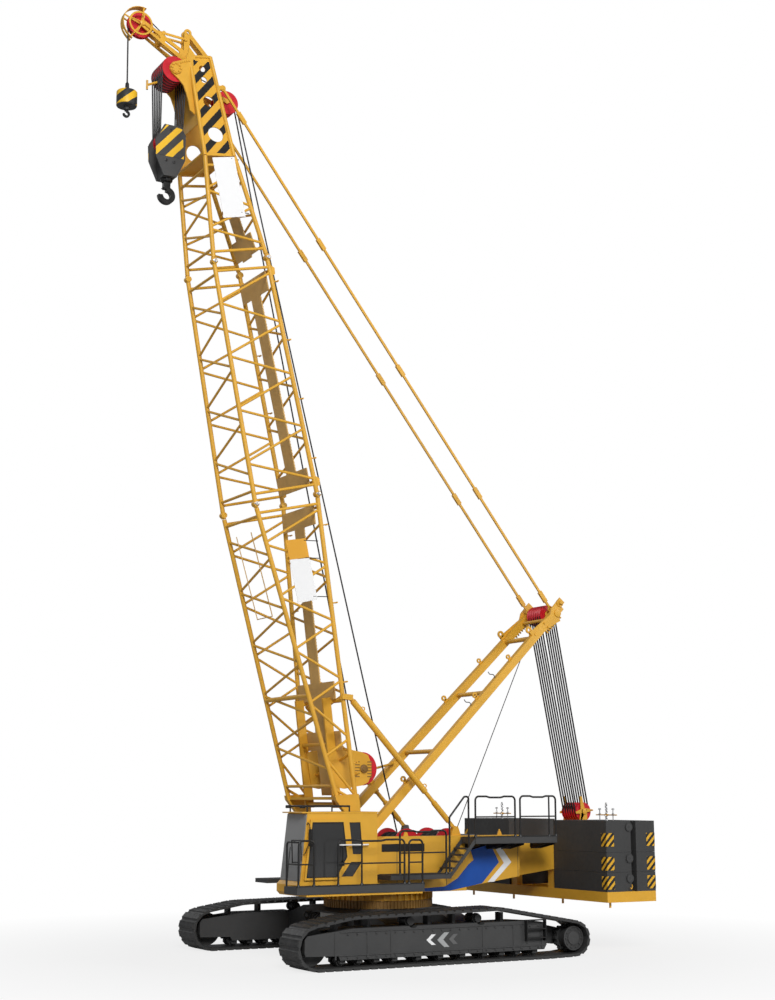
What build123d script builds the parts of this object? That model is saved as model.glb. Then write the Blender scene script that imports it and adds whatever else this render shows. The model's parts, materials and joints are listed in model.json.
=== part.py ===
from build123d import *
import os
from math import atan2, ceil, cos, degrees, hypot, pi, radians, sin

os.makedirs("parts", exist_ok=True)

# Crawler crane with a lattice boom. Millimetres. +X forwards to the boom, +Y to the machine's left
# (the cab's side), +Z up. The origin is on the ground under the slewing axis.

# ---------------------------------------------------------------- driving dimensions
GAP = 5.0                      # running gap between pieces that move past each other

# Crawler tracks
TRACK_Y = 2850.0               # centre of a track, from the machine's centre plane
SHOE_WIDTH = 950.0
SHOE_PLATE = 45.0              # plate thickness of a shoe
SHOE_PAD = 25.0                # height of the pad on each plate
SHOE_COUNT = 74
SOLE_SNAP = 3.0                # pads closer to the ground than this are levelled to it
SHOE_T = SHOE_PLATE + SHOE_PAD
IDLER_X, IDLER_Z, IDLER_R = 3360.0, 500.0, 405.0
SPROCKET_X, SPROCKET_Z, SPROCKET_R = -3530.0, 430.0, 320.0
SHOE_SAG = 20.0                # the shoes' straight backs cut inside the curve of a wheel by this
# Circles that the inside of the shoe loop is stretched round: x, z, radius
LOOP_CIRCLES = [
    (IDLER_X, IDLER_Z, IDLER_R + SHOE_SAG + GAP),
    (2420.0, 680.0, 400.0),
    (-1420.0, 740.0, 400.0),
    (SPROCKET_X, SPROCKET_Z, SPROCKET_R + SHOE_SAG + GAP),
    (-2700.0, 200.0, 200.0 - SHOE_T),
]
FRAME_IN, FRAME_OUT = 2500.0, 3200.0      # inner and outer faces of a track frame
FRAME_LOW, FRAME_TOP = 310.0, 880.0
SKIRT_LOW = 215.0              # lower edge of the plates outside the rollers
ROLLER_R, ROLLER_Z = 112.0, 187.0
ROLLER_XS = [2650, 2220, 1790, 1330, 710, 130, -460, -1060, -1530, -1980, -2460]
CARRIER_XS = [890, -920]
CARRIER_R, CARRIER_Z = 115.0, 975.0
GUIDE_XS = [2730, 1900, 330, -330, -1650]  # posts on a track frame under the shoes' upper run
GUIDE_SLACK = 28.0

# Slewing ring and carbody
RING_LOW, RING_SPLIT, RING_TOP = 1120.0, 1300.0, 1500.0
RING_R, RING_TEETH = 1330.0, 96
CARBODY_X, CARBODY_Y = 1350.0, 1250.0

# Superstructure
BASE_LOW = RING_TOP            # underside of the turntable
PANEL_IN, PANEL_Y = 1090.0, 1450.0     # inner and outer faces of the left housing
DECK_TOP = 2800.0
CAB_IN, CAB_OUT = 1470.0, 2450.0
CAB_WALL = 50.0
WALK_Y = 2130.0                # outer edge of the left walkways
CATWALK_Y = 2850.0             # outer edge of the cab's catwalk
BALLAST_X0, BALLAST_X1 = -6060.0, -4570.0
BALLAST_IN, BALLAST_OUT = 1010.0, 3200.0
TRAY_LOW, TRAY_TOP = 1210.0, 1460.0
LAYERS = [("lower", 1460.0, 1920.0), ("middle", 1924.0, 2396.0), ("upper", 2400.0, 3150.0)]

# Boom: foot pin, then the chord stations of the lattice in the plane of the boom
BOOM_FOOT = (1370.0, 2720.0)
MAST_FOOT = (950.0, 2720.0)
# station: back chord x and z, front chord x and z, half width
FOOT_STATION = dict(back=(1285.0, 3380.0), front=(1830.0, 3700.0), half=1280.0)
J1_STATION = dict(back=(2245.0, 10995.0), front=(3895.0, 10600.0), half=935.0)
J2_STATION = dict(back=(3622.0, 16828.0), front=(5041.0, 16490.0), half=807.0)
HEAD_STATION = dict(back=(4550.0, 19290.0), front=(5330.0, 19160.0), half=795.0)
TIP_STATION = dict(back=(5060.0, 21970.0), front=(5620.0, 21860.0), half=360.0)
CHORD_R, LACE_R = 56.0, 31.0
LACE_APART, LACE_END = 34.0, 18.0          # gap of a lacing's end from its node, and from the chord's centre
LACE_MARGIN = 350.0                        # from a section's end to its first node
PIN_BOSS_R = 76.0

# Head sheaves, aux jib and hooks
HEAD_AXLE = (6000.0, 21430.0)
HEAD_SHEAVE_R = 330.0
JIB_SHEAVE = (6810.0, 22540.0)
JIB_SHEAVE_R = 330.0
EYE = (5570.0, 22620.0)        # eyes on top of the head
EYE_IN, EYE_OUT = 60.0, 100.0  # faces of each eye plate
EYE_R = 40.0
HOOK_X = 6000.0
BALL_X = JIB_SHEAVE[0] + 280.0

# Pendants and mast
PENDANT_TOP = (4770.0, 21150.0)
MAST_HEAD = (-4956.0, 8632.0)
PENDANT_Y = 510.0
PENDANT_PIN_R, PENDANT_EYE_R = 25.0, 75.0
MAST_DEPTH, MAST_WALL_Y = 200.0, 160.0

LINK_HEADS = [700.0, 4400.0, 8200.0, 12000.0, 15300.0]      # along the pendant, from the boom

# Backstops
STOP_TOP = (1455.0, 6070.0)
STOP_FOOT = (-1480.0, 2960.0)
STOP_Y = 1195.0

# Deck winches and the boom winch
DECK_WINCHES = [("front_drum", -540.0), ("rear_drum", -1700.0)]
DECK_WINCH_Z, DECK_WINCH_R = 2620.0, 345.0
BOOM_WINCH = (790.0, 4400.0)
BOOM_WINCH_R = 400.0


# ---------------------------------------------------------------- helpers
def box(x0, x1, y0, y1, z0, z1):
    """A block between its limits along each axis."""
    centre = Pos((x0 + x1) / 2, (y0 + y1) / 2, (z0 + z1) / 2)
    return centre * Box(abs(x1 - x0), abs(y1 - y0), abs(z1 - z0))


def plate_y(points, y0, y1):
    """An outline in X and Z, given thickness from y0 to y1."""
    low, high = min(y0, y1), max(y0, y1)
    face = make_face(Polyline(*points, close=True))
    return extrude(Plane.XZ.offset(-high) * face, amount=high - low)


def disc_y(x, z, radius, y0, y1):
    """A cylinder whose axis runs along Y."""
    return Pos(x, (y0 + y1) / 2, z) * Rot(90, 0, 0) * Cylinder(radius, abs(y1 - y0))


def ring_y(x, z, outer, inner, y0, y1):
    """A ring whose axis runs along Y."""
    return disc_y(x, z, outer, y0, y1) - disc_y(x, z, inner, min(y0, y1) - 1, max(y0, y1) + 1)


def rod(p, q, radius):
    """A round bar between two points."""
    axis = Vector(*q) - Vector(*p)
    return extrude(Plane(origin=p, z_dir=axis) * Circle(radius), amount=axis.length)


def bar(p, q, depth, y0, y1, extend=0.0):
    """A flat-sided bar between two points (x, z), depth across, from y0 to y1."""
    length = hypot(q[0] - p[0], q[1] - p[1])
    ux, uz = (q[0] - p[0]) / length, (q[1] - p[1]) / length
    nx, nz = -uz * depth / 2, ux * depth / 2
    a = (p[0] - ux * extend, p[1] - uz * extend)
    b = (q[0] + ux * extend, q[1] + uz * extend)
    corners = [(a[0] + nx, a[1] + nz), (b[0] + nx, b[1] + nz),
               (b[0] - nx, b[1] - nz), (a[0] - nx, a[1] - nz)]
    return plate_y(corners, y0, y1)


def both(shape):
    """The shape with its mirror image on the machine's other side."""
    return [shape, mirror(shape, about=Plane.XZ)]


def fuse(shapes):
    """One shape of all that is given."""
    shapes = list(shapes)
    return shapes[0] if len(shapes) == 1 else shapes[0].fuse(*shapes[1:])


def along(p, q, distance):
    """The point (x, z) that far from p towards q."""
    length = hypot(q[0] - p[0], q[1] - p[1])
    return (p[0] + (q[0] - p[0]) * distance / length, p[1] + (q[1] - p[1]) * distance / length)


PARTS = {}


def keep(name, *shapes):
    """Files one or more solids that don't touch under a node's name."""
    solids = [solid for shape in shapes for solid in shape.solids()]
    PARTS[name] = solids[0] if len(solids) == 1 else Compound(children=solids)


# ---------------------------------------------------------------- crawler tracks
def loop_hull(steps=720):
    """Points of the stretched loop round LOOP_CIRCLES, anticlockwise in X and Z."""
    points = []
    for i in range(steps):
        angle = 2 * pi * i / steps
        nx, nz = cos(angle), sin(angle)
        x, z, r = max(LOOP_CIRCLES, key=lambda c: c[0] * nx + c[1] * nz + c[2])
        point = (x + r * nx, z + r * nz)
        if not points or hypot(point[0] - points[-1][0], point[1] - points[-1][1]) > 1e-6:
            points.append(point)
    return points


def inner_top(x):
    """Height of the loop's upper run, on the inside of the shoes."""
    upper = [p for p in loop_hull() if p[1] > 600]
    ends = [(a, b) for a, b in zip(upper, upper[1:]) if b[0] <= x <= a[0]]
    a, b = ends[0]
    return a[1] + (b[1] - a[1]) * (a[0] - x) / (a[0] - b[0])


def even_points(points, count):
    """That many points at even spacing round a closed line."""
    ends = points[1:] + points[:1]
    lengths = [hypot(b[0] - a[0], b[1] - a[1]) for a, b in zip(points, ends)]
    pitch = sum(lengths) / count
    found, travelled = [], 0.0
    for a, b, length in zip(points, ends, lengths):
        while len(found) < count and len(found) * pitch <= travelled + length:
            t = (len(found) * pitch - travelled) / length
            found.append((a[0] + (b[0] - a[0]) * t, a[1] + (b[1] - a[1]) * t))
        travelled += length
    return found


def shoe_loop(y0, y1):
    """The track as one loop, each shoe a plate with a raised pad."""
    joints = even_points(loop_hull(), SHOE_COUNT)
    outer = []
    for i, a in enumerate(joints):
        b, before = joints[(i + 1) % SHOE_COUNT], joints[i - 1]
        length = hypot(b[0] - a[0], b[1] - a[1])
        nx, nz = (b[1] - a[1]) / length, -(b[0] - a[0]) / length
        mx, mz = b[1] - before[1], -(b[0] - before[0])
        size = hypot(mx, mz)
        outer.append((a[0] + mx / size * SHOE_PLATE * 0.7, a[1] + mz / size * SHOE_PLATE * 0.7))
        for share, height in ((0.10, SHOE_PLATE), (0.16, SHOE_T), (0.84, SHOE_T), (0.90, SHOE_PLATE)):
            x = a[0] + (b[0] - a[0]) * share + nx * height
            z = a[1] + (b[1] - a[1]) * share + nz * height
            outer.append((x, 0.0 if z < SOLE_SNAP else z))
    return plate_y(outer, y0, y1) - plate_y(joints, y0 - 1, y1 + 1)


def track_frame():
    """Side frame of the left track: a box beam with cheeks for the idler and the final drive."""
    beam = plate_y([(2800, FRAME_LOW), (2800, 835), (2450, FRAME_TOP), (-2050, FRAME_TOP),
                    (-2700, 835), (-2750, FRAME_LOW)], FRAME_IN, FRAME_OUT)
    cheek = [(2800, FRAME_LOW), (3600, 330), (3620, 400), (3620, 690), (3560, 760), (2800, 835)]
    shapes = [beam, plate_y(cheek, FRAME_IN, FRAME_IN + 120), plate_y(cheek, FRAME_OUT - 120, FRAME_OUT)]
    skirt = [(2800, FRAME_LOW + 5), (2740, SKIRT_LOW), (-2680, SKIRT_LOW), (-2740, FRAME_LOW + 5)]
    shapes += [plate_y(skirt, FRAME_IN, FRAME_IN + 40), plate_y(skirt, FRAME_OUT - 40, FRAME_OUT)]
    arm = [(-2700, 340), (-2700, 800), (SPROCKET_X + 140, 660), (SPROCKET_X - 60, 600),
           (SPROCKET_X - 60, 270), (SPROCKET_X + 240, 270)]
    shapes.append(plate_y(arm, FRAME_IN, FRAME_IN + 150))
    frame = fuse(shapes)
    for x in CARRIER_XS:
        frame = frame - disc_y(x, CARRIER_Z, CARRIER_R + 30, FRAME_IN - 1, FRAME_OUT + 1)
    posts = [box(x - 40, x + 40, 2740, 2960, 800, inner_top(x) - GUIDE_SLACK) for x in GUIDE_XS]
    return fuse([frame] + posts)


def idler():
    """Front wheel of a track, on an axle between the frame's cheeks."""
    rim = disc_y(IDLER_X, IDLER_Z, IDLER_R, 2760, 2940)
    hub = disc_y(IDLER_X, IDLER_Z, 150, 2640, 3060)
    pin = disc_y(IDLER_X, IDLER_Z, 80, FRAME_IN + 120, FRAME_OUT - 120)
    return fuse([rim, hub, pin])


def sprocket():
    """Rear drive wheel with its gear housing and round outer cover."""
    teeth = 13
    outline = []
    for i in range(teeth):
        for share, radius in ((-0.30, SPROCKET_R - 42), (-0.13, SPROCKET_R), (0.13, SPROCKET_R), (0.30, SPROCKET_R - 42)):
            angle = 2 * pi * (i + share) / teeth
            outline.append((SPROCKET_X + radius * cos(angle), SPROCKET_Z + radius * sin(angle)))
    wheel = plate_y(outline, 2790, 2910)
    housing = disc_y(SPROCKET_X, SPROCKET_Z, 240, FRAME_IN + 150, 3120)
    cover = disc_y(SPROCKET_X, SPROCKET_Z, 270, 3120, 3190)
    return fuse([wheel, housing, cover])


def roller(x, z, radius):
    """A double-flanged roller with its axle ends."""
    barrel = disc_y(x, z, radius * 0.78, 2620, 3080)
    flanges = [disc_y(x, z, radius, y, y + 70) for y in (2690, 2940)]
    return fuse([barrel, *flanges])


def roller_bracket(x):
    """A yoke under the track frame that holds one roller's axle."""
    return [box(x - 70, x + 70, y, y + 45, ROLLER_Z - 50, FRAME_LOW) for y in (2570, 3085)]


def side_steps():
    """Steps outside the left track frame, in front of the final drive."""
    rungs = [box(-2650, -2150, FRAME_OUT, FRAME_OUT + 110, z, z + 25) for z in (480, 680, 880)]
    sides = [box(x, x + 25, FRAME_OUT, FRAME_OUT + 110, 420, 905) for x in (-2675, -2150)]
    return fuse(rungs + sides)


track = shoe_loop(TRACK_Y - SHOE_WIDTH / 2, TRACK_Y + SHOE_WIDTH / 2)
keep("left_track", track)
keep("right_track", mirror(track, about=Plane.XZ))
side_frame = fuse([track_frame()] + [part for x in ROLLER_XS for part in roller_bracket(x)])
keep("track_frames", *both(side_frame))
keep("idlers", *both(idler()))
keep("sprockets", *both(sprocket()))
rollers = [roller(x, ROLLER_Z, ROLLER_R) for x in ROLLER_XS]
rollers += [roller(x, CARRIER_Z, CARRIER_R) for x in CARRIER_XS]
keep("track_rollers", *[half for item in rollers for half in both(item)])
keep("track_steps", *both(side_steps()))


# ---------------------------------------------------------------- carbody
def carbody():
    """Centre box under the slewing ring with four lifting eyes."""
    core = plate_y([(-1100, 420), (-CARBODY_X, 620), (-CARBODY_X, 1020), (-1150, RING_LOW),
                    (1150, RING_LOW), (CARBODY_X, 1020), (CARBODY_X, 620), (1100, 420)],
                   -CARBODY_Y, CARBODY_Y)
    eyes = []
    for x in (1500, -1500):
        sign = 1 if x > 0 else -1
        for y0 in (900, -930):
            lug = plate_y([(sign * 1300, 720), (x - sign * 20, 720), (x + sign * 80, 900),
                           (x + sign * 20, 990), (sign * 1300, 990)], y0, y0 + 30)
            eyes.append(lug - disc_y(x, 890, 45, y0 - 1, y0 + 31))
    return fuse([core] + eyes)


def cross_beam(x0, x1):
    """Left half of a beam that carries the track frame, deep at the carbody."""
    outline = [(CARBODY_Y, 430), (CARBODY_Y, 1080), (1700, 1080), (FRAME_IN, 860), (FRAME_IN, 430)]
    face = make_face(Polyline(*outline, close=True))
    return extrude(Plane.YZ.offset(x0) * face, amount=x1 - x0)


def toothed_ring():
    """Lower ring of the slewing bearing, with teeth round its outside."""
    outline = []
    for i in range(RING_TEETH):
        for share, radius in ((-0.32, RING_R - 28), (-0.2, RING_R), (0.2, RING_R), (0.32, RING_R - 28)):
            angle = 2 * pi * (i + share) / RING_TEETH
            outline.append((radius * cos(angle), radius * sin(angle)))
    gear = extrude(Plane.XY.offset(RING_LOW) * make_face(Polyline(*outline, close=True)),
                   amount=RING_SPLIT - GAP - RING_LOW)
    return gear - Pos(0, 0, RING_LOW) * Cylinder(1050, 400)


keep("carbody", carbody())
keep("cross_beams", *both(cross_beam(620, 1180)), *both(cross_beam(-1180, -620)))
keep("slewing_ring_lower", toothed_ring())


# ---------------------------------------------------------------- turntable
def turntable_frame():
    """Two deep side beams with cross plates, lugs for boom and mast, and a tail."""
    outline = [(1900, BASE_LOW), (1900, 2300), (1650, 2500), (-2900, 2500), (-3100, 2700), (-4600, 2740),
               (-6150, 2560), (-6150, 1960), (-4560, 1926), (-3200, 1760), (-1400, BASE_LOW)]
    beams = [plate_y(outline, 680, 995), plate_y(outline, -995, -680)]
    base = box(-1650, 1900, -PANEL_Y, PANEL_Y, BASE_LOW, BASE_LOW + 110)
    floor = box(-6150, -2900, -680, 680, 2380, 2440)
    nose = box(1780, 1900, -680, 680, BASE_LOW + 110, 2300)
    tail = box(-6150, -6050, -680, 680, 1960, 2380)
    return fuse(beams + [base, floor, nose, tail])


def foot_lugs(centre, inner, outer, low, wide, radius):
    """Left pair of lug plates round a foot, with the hole for its pin."""
    x, z = centre
    plates = []
    for y0, y1 in (inner, outer):
        plate = plate_y([(x - wide, low), (x - radius, z), (x - radius * 0.7, z + radius * 0.7),
                         (x, z + radius), (x + radius * 0.7, z + radius * 0.7), (x + radius, z),
                         (x + wide, low)], y0, y1)
        plates.append(plate)
    return plates


def pinned(plates, centre, y0, y1, radius):
    """The plates joined by the pin through them."""
    return fuse(plates + [disc_y(centre[0], centre[1], radius, y0, y1)])


BOOM_LUG_IN, BOOM_LUG_OUT = (1115.0, 1185.0), (1375.0, 1445.0)
MAST_LUG_IN, MAST_LUG_OUT = (720.0, 785.0), (1015.0, 1080.0)
boom_lugs = pinned(foot_lugs(BOOM_FOOT, BOOM_LUG_IN, BOOM_LUG_OUT, BASE_LOW + 110, 330, 150),
                   BOOM_FOOT, BOOM_LUG_IN[0], BOOM_LUG_OUT[1], 60)
mast_lugs = pinned([plate_y([(700, 2500), (MAST_FOOT[0] - 130, MAST_FOOT[1]), (MAST_FOOT[0], 2850),
                             (MAST_FOOT[0] + 130, MAST_FOOT[1]), (1200, 2500)], *MAST_LUG_IN),
                    plate_y([(700, BASE_LOW + 110), (MAST_FOOT[0] - 130, MAST_FOOT[1]),
                             (MAST_FOOT[0], 2850), (MAST_FOOT[0] + 130, MAST_FOOT[1]),
                             (1200, BASE_LOW + 110)], *MAST_LUG_OUT)],
                   MAST_FOOT, MAST_LUG_IN[0], MAST_LUG_OUT[1], 50)

keep("slewing_ring_upper", Pos(0, 0, (RING_SPLIT + RING_TOP) / 2)
     * (Cylinder(RING_R - 60, RING_TOP - RING_SPLIT) - Cylinder(1050, 400)))
keep("turntable_frame", fuse([turntable_frame()] + both(boom_lugs) + both(mast_lugs)))


def left_housing():
    """Left machinery housing, whose outer face is the machine's yellow flank."""
    outline = [(880, BASE_LOW + 110), (880, DECK_TOP - 110), (600, DECK_TOP), (-3240, DECK_TOP),
               (-3200, 1800), (-1940, 1630), (-1650, BASE_LOW + 110)]
    return plate_y(outline, PANEL_IN, PANEL_Y)


def right_housing():
    """Engine housing on the right, hollow for the engine block."""
    outer = box(-3600, 700, -2150, -PANEL_IN, BASE_LOW + 110, DECK_TOP - 40)
    inner = box(-3400, 500, -2110, -PANEL_IN - 40, BASE_LOW + 160, DECK_TOP - 90)
    body = outer - inner
    for x in range(-3100, 300, 560):
        for z in range(1900, 2500, 90):
            body = body - box(x, x + 440, -2160, -2100, z, z + 45)
    return body


foot_plates_y = [(STOP_Y - 65, STOP_Y - 40), (STOP_Y + 40, STOP_Y + 65)]


def stop_foot_lugs(side, top):
    """Plates on a housing's top, either side of a backstop's foot."""
    outline = [(STOP_FOOT[0] - 150, top), (STOP_FOOT[0] - 60, STOP_FOOT[1] + 60),
               (STOP_FOOT[0] + 60, STOP_FOOT[1] + 60), (STOP_FOOT[0] + 150, top)]
    return [plate_y(outline, side * y0, side * y1) for y0, y1 in foot_plates_y]


keep("left_housing", fuse([left_housing()] + stop_foot_lugs(1, DECK_TOP - 20)))
keep("engine_housing", fuse([right_housing()] + stop_foot_lugs(-1, DECK_TOP - 60)))
keep("engine_block", box(-2900, -700, -1900, -1150, BASE_LOW + 165, 2450))


# ---------------------------------------------------------------- walkways, stairs and rails
def rail(points, radius=23.0, bend=120.0):
    """A round handrail through the points, bent at its corners."""
    path = FilletPolyline(*points, radius=bend)
    start = Vector(*points[1]) - Vector(*points[0])
    return sweep(Plane(origin=points[0], z_dir=start) * Circle(radius), path=path)


def hoop(x0, x1, y, low, top, mid=None):
    """A bent handrail between two posts along X, dipped in the middle, with a middle bar if mid is given."""
    dip = [(x0, y, low), (x0, y, top), (x0 + (x1 - x0) * 0.28, y, top), (x0 + (x1 - x0) * 0.36, y, top - 25),
           (x0 + (x1 - x0) * 0.64, y, top - 25), (x0 + (x1 - x0) * 0.72, y, top), (x1, y, top), (x1, y, low)]
    plain = [(x0, y, low), (x0, y, top), (x1, y, top), (x1, y, low)]
    frame = rail(dip if abs(x1 - x0) > 900 else plain, bend=60.0 if abs(x1 - x0) < 300 else 100.0)
    return frame if mid is None else fuse([frame, rod((x0, y, mid), (x1, y, mid), 17)])


def stairs():
    """Open stairs from the lower to the upper walkway."""
    treads = [box(-1010 - 130 * i, -850 - 130 * i, PANEL_Y + 60, WALK_Y - 50, 2040 + 150 * i, 2070 + 150 * i)
              for i in range(4)]
    slope = [(-790, 1835), (-790, 1935), (-1490, 2750), (-1490, 2625)]
    strings = [plate_y(slope, y, y + 30) for y in (PANEL_Y + 30, WALK_Y - 50)]
    return fuse(treads + strings)


LOW_WALK, HIGH_WALK = (1830.0, 1935.0), (2620.0, 2770.0)
lower_walk = box(-795, 860, PANEL_Y, WALK_Y, *LOW_WALK)
upper_walk = box(-3880, -1485, PANEL_Y, WALK_Y, *HIGH_WALK)
right_walk = box(900, 2300, -2150, -PANEL_Y - 5, 1640, 1740)
keep("walkways", fuse([lower_walk, upper_walk, stairs()]), right_walk)
CATWALK_LOW, CATWALK_TOP = 1610.0, 1775.0
catwalk = fuse([box(380, 3640, CAB_OUT + 5, CATWALK_Y, CATWALK_LOW, CATWALK_TOP),
                box(3475, 3640, 2200, CATWALK_Y, CATWALK_LOW, CATWALK_TOP)])
keep("cab_catwalk", catwalk)

y = WALK_Y - 25
walk_rails = [
    hoop(600, -670, y, LOW_WALK[1], 2945, 2440),
    hoop(-1500, -2650, y, HIGH_WALK[1], 3740, 3255),
    fuse([hoop(-2800, -3860, y, HIGH_WALK[1], 3750, 3260),
          rod((-3660, y, HIGH_WALK[1]), (-3660, y, 3750), 20)]),
    rail([(-764, y, LOW_WALK[1]), (-764, y, 3250), (-1185, y, 3735), (-1305, y, 3735),
          (-1305, y, 2565)], bend=55.0),
]
y = CATWALK_Y - 25
cat_rails = [
    hoop(3600, 3215, y, CATWALK_TOP, 2770, 2260),
    fuse([hoop(2610, 900, y, CATWALK_TOP, 2775, 2260), rod((2010, y, CATWALK_TOP), (2010, y, 2750), 20)]),
    hoop(780, 420, y, CATWALK_TOP, 2760, 2260),
]
front_rail = rail([(3600, 2240, CATWALK_TOP), (3600, 2240, 2740), (3600, y, 2740)], bend=90.0)
cat_rails[0] = fuse([cat_rails[0], front_rail, rod((3600, 2240, 2260), (3600, y, 2260), 17)])


# ---------------------------------------------------------------- cab
CAB_LOW, CAB_TOP = 1875.0, 3370.0
CAB_REAR, CAB_FRONT_LOW, CAB_FRONT_TOP = 1400.0, 3370.0, 3200.0


def cab_outline(inset, low=CAB_LOW, top=CAB_TOP):
    """Side outline of the cab in X and Z, moved inwards by inset."""
    return [(CAB_REAR + inset, low + inset), (CAB_FRONT_LOW - inset, low + inset),
            (CAB_FRONT_TOP - inset, top - inset), (CAB_REAR + inset, top - inset)]


DOOR = [(3285, 1900), (3135, 3230), (2250, 3230), (2140, 2400), (2430, 1900)]
DOOR_GLASS = [(3225, 1960), (3085, 3160), (2315, 3160), (2215, 2400), (2480, 1960)]
REAR_WINDOW = [(2130, 3160), (1845, 3160), (1780, 2450), (2035, 2450)]
LOW_WINDOW = [(2080, 2280), (1800, 2280), (2035, 1960), (2330, 1960)]


def cab_shell():
    """Hollow cab with its windscreen, side windows, rear window and doorway cut out."""
    shell = plate_y(cab_outline(0), CAB_IN, CAB_OUT)
    shell = shell - plate_y(cab_outline(CAB_WALL), CAB_IN + CAB_WALL, CAB_OUT - CAB_WALL)
    doorway = [(3240, 1945), (3095, 3190), (2290, 3190), (2185, 2400), (2460, 1945)]
    for outline in (doorway, REAR_WINDOW, LOW_WINDOW):
        shell = shell - plate_y(outline, CAB_OUT - CAB_WALL - 5, CAB_OUT + 5)
    shell = shell - plate_y([(3100, 2000), (2960, 3200), (1600, 3200), (1600, 2300)],
                            CAB_IN - 5, CAB_IN + CAB_WALL + 5)
    shell = shell - plate_y([(3200, 1960), (3500, 1960), (3500, 3290), (3000, 3290)],
                            CAB_IN + 70, CAB_OUT - 70)
    shell = shell - box(CAB_REAR - 5, CAB_REAR + CAB_WALL + 5, CAB_IN + 150, CAB_OUT - 150, 2500, 3150)
    roof = plate_y([(CAB_REAR - 25, CAB_TOP - 2), (3330, CAB_TOP - 2), (3350, CAB_TOP + 12), (3330, CAB_TOP + 26),
                    (CAB_REAR - 25, CAB_TOP + 26)], CAB_IN - 12, CAB_OUT + 14)
    return fuse([shell, roof])


def cab_glass():
    """Panes of the windscreen, the left and right windows and the rear window."""
    lean = (CAB_FRONT_LOW - CAB_FRONT_TOP) / (CAB_TOP - CAB_LOW)
    front_low = CAB_FRONT_LOW - lean * 10 + 2
    front_top = CAB_FRONT_TOP + lean * 25 + 2
    panes = [plate_y([(front_low, CAB_LOW + 10), (front_low + 18, CAB_LOW + 10), (front_top + 18, CAB_TOP - 25),
                      (front_top, CAB_TOP - 25)], CAB_IN + 15, CAB_OUT - 12)]
    for outline in (REAR_WINDOW, LOW_WINDOW):
        panes.append(plate_y(outline, CAB_OUT - 36, CAB_OUT - 14))
    panes.append(plate_y([(3100, 2000), (2960, 3200), (1600, 3200), (1600, 2300)], CAB_IN + 14, CAB_IN + 36))
    panes.append(box(CAB_REAR + 14, CAB_REAR + 36, CAB_IN + 150, CAB_OUT - 150, 2500, 3150))
    return panes


def cab_seat():
    """Operator's seat on its pedestal."""
    y0, y1 = 1720, 2200
    pedestal = box(1900, 2250, y0 + 90, y1 - 90, CAB_LOW + CAB_WALL, 2200)
    cushion = box(1800, 2350, y0, y1, 2200, 2340)
    back = plate_y([(1800, 2340), (1930, 2340), (1840, 3000), (1710, 3000)], y0 + 20, y1 - 20)
    return fuse([pedestal, cushion, back])


door = plate_y(DOOR, CAB_OUT + GAP, CAB_OUT + GAP + 45) - plate_y(DOOR_GLASS, CAB_OUT, CAB_OUT + 60)
cab_foot = plate_y([(1400, 1560), (3390, 1560), (3470, 1640), (3470, 1800), (3395, CAB_LOW), (1400, CAB_LOW)],
                   CAB_IN, CAB_OUT)
keep("cab_base", fuse([cab_foot, box(420, 3400, CAB_OUT - 60, CATWALK_Y - 20, 1560, 1605)]))
keep("cab_shell", cab_shell())
keep("cab_glass", *cab_glass())
keep("cab_seat", cab_seat())
keep("cab_door", door)
keep("cab_door_glass", plate_y(DOOR_GLASS, CAB_OUT + GAP + 12, CAB_OUT + GAP + 34))
guard_z = CAB_TOP + 150
guard = [rod((x, yy, CAB_TOP + 26), (x, yy, guard_z), 18) for x in (2100, 3180) for yy in (1540, 2390)]
guard += [rod((2100, yy, guard_z), (3180, yy, guard_z), 22) for yy in (1540, 2390)]
guard.append(rod((3180, 1540, guard_z), (3180, 2390, guard_z), 22))
guard.append(rod((2100, 1540, guard_z), (2100, 2390, guard_z), 22))
guard += [Pos(x, yy, guard_z) * Sphere(22) for x in (2100, 3180) for yy in (1540, 2390)]
keep("handrails", *walk_rails, *cat_rails, fuse(guard))


# ---------------------------------------------------------------- counterweight
def ballast_block(low, top):
    """One left counterweight slab with a recess and a lifting lug in its outer face."""
    slab = box(BALLAST_X0, BALLAST_X1, BALLAST_IN, BALLAST_OUT, low, top)
    slab = slab - box(-5480, -5110, BALLAST_OUT - 35, BALLAST_OUT + 1, low - 1, top + 1)
    slab = slab - box(-5480, -5350, BALLAST_OUT - 220, BALLAST_OUT + 1, low - 1, top + 1)
    lug = disc_y(-5290, top - 150, 105, BALLAST_OUT - 180, BALLAST_OUT - 10)
    return slab + lug


for layer, low, top in LAYERS:
    keep(f"counterweight_{layer}", *both(ballast_block(low, top)))
tray = box(BALLAST_X0, BALLAST_X1, -BALLAST_OUT, BALLAST_OUT, TRAY_LOW, TRAY_TOP)
for x0, x1 in ((-5900, -5400), (-5230, -4730)):
    tray = tray - box(x0, x1, -850, 850, TRAY_LOW - 1, TRAY_TOP + 1)
posts = [box(x, x + 160, y, y + 260, TRAY_TOP, 1926) for x in (-4760, -6040) for y in (700, -960)]
rests = [rod((-4760, y, TRAY_LOW - 130), (-4760, y, TRAY_LOW + 20), 28) for y in (3050, 1100, -1100, -3050)]
keep("counterweight_tray", fuse([tray] + posts + rests))


def lifting_frame(y):
    """Chain post with two bolts and a cross bar on top of a counterweight stack."""
    top = LAYERS[-1][2]
    post = box(-5130, -5080, y - 25, y + 25, top, top + 420)
    bars = [box(-5120, -5090, y - 260, y + 260, top + 110, top + 140)]
    pins = [box(-5120, -5090, y + dy - 15, y + dy + 15, top, top + 270) for dy in (-180, 180)]
    return fuse([post] + bars + pins)


keep("ballast_lifting_posts", lifting_frame(2000), lifting_frame(-2000))

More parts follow.
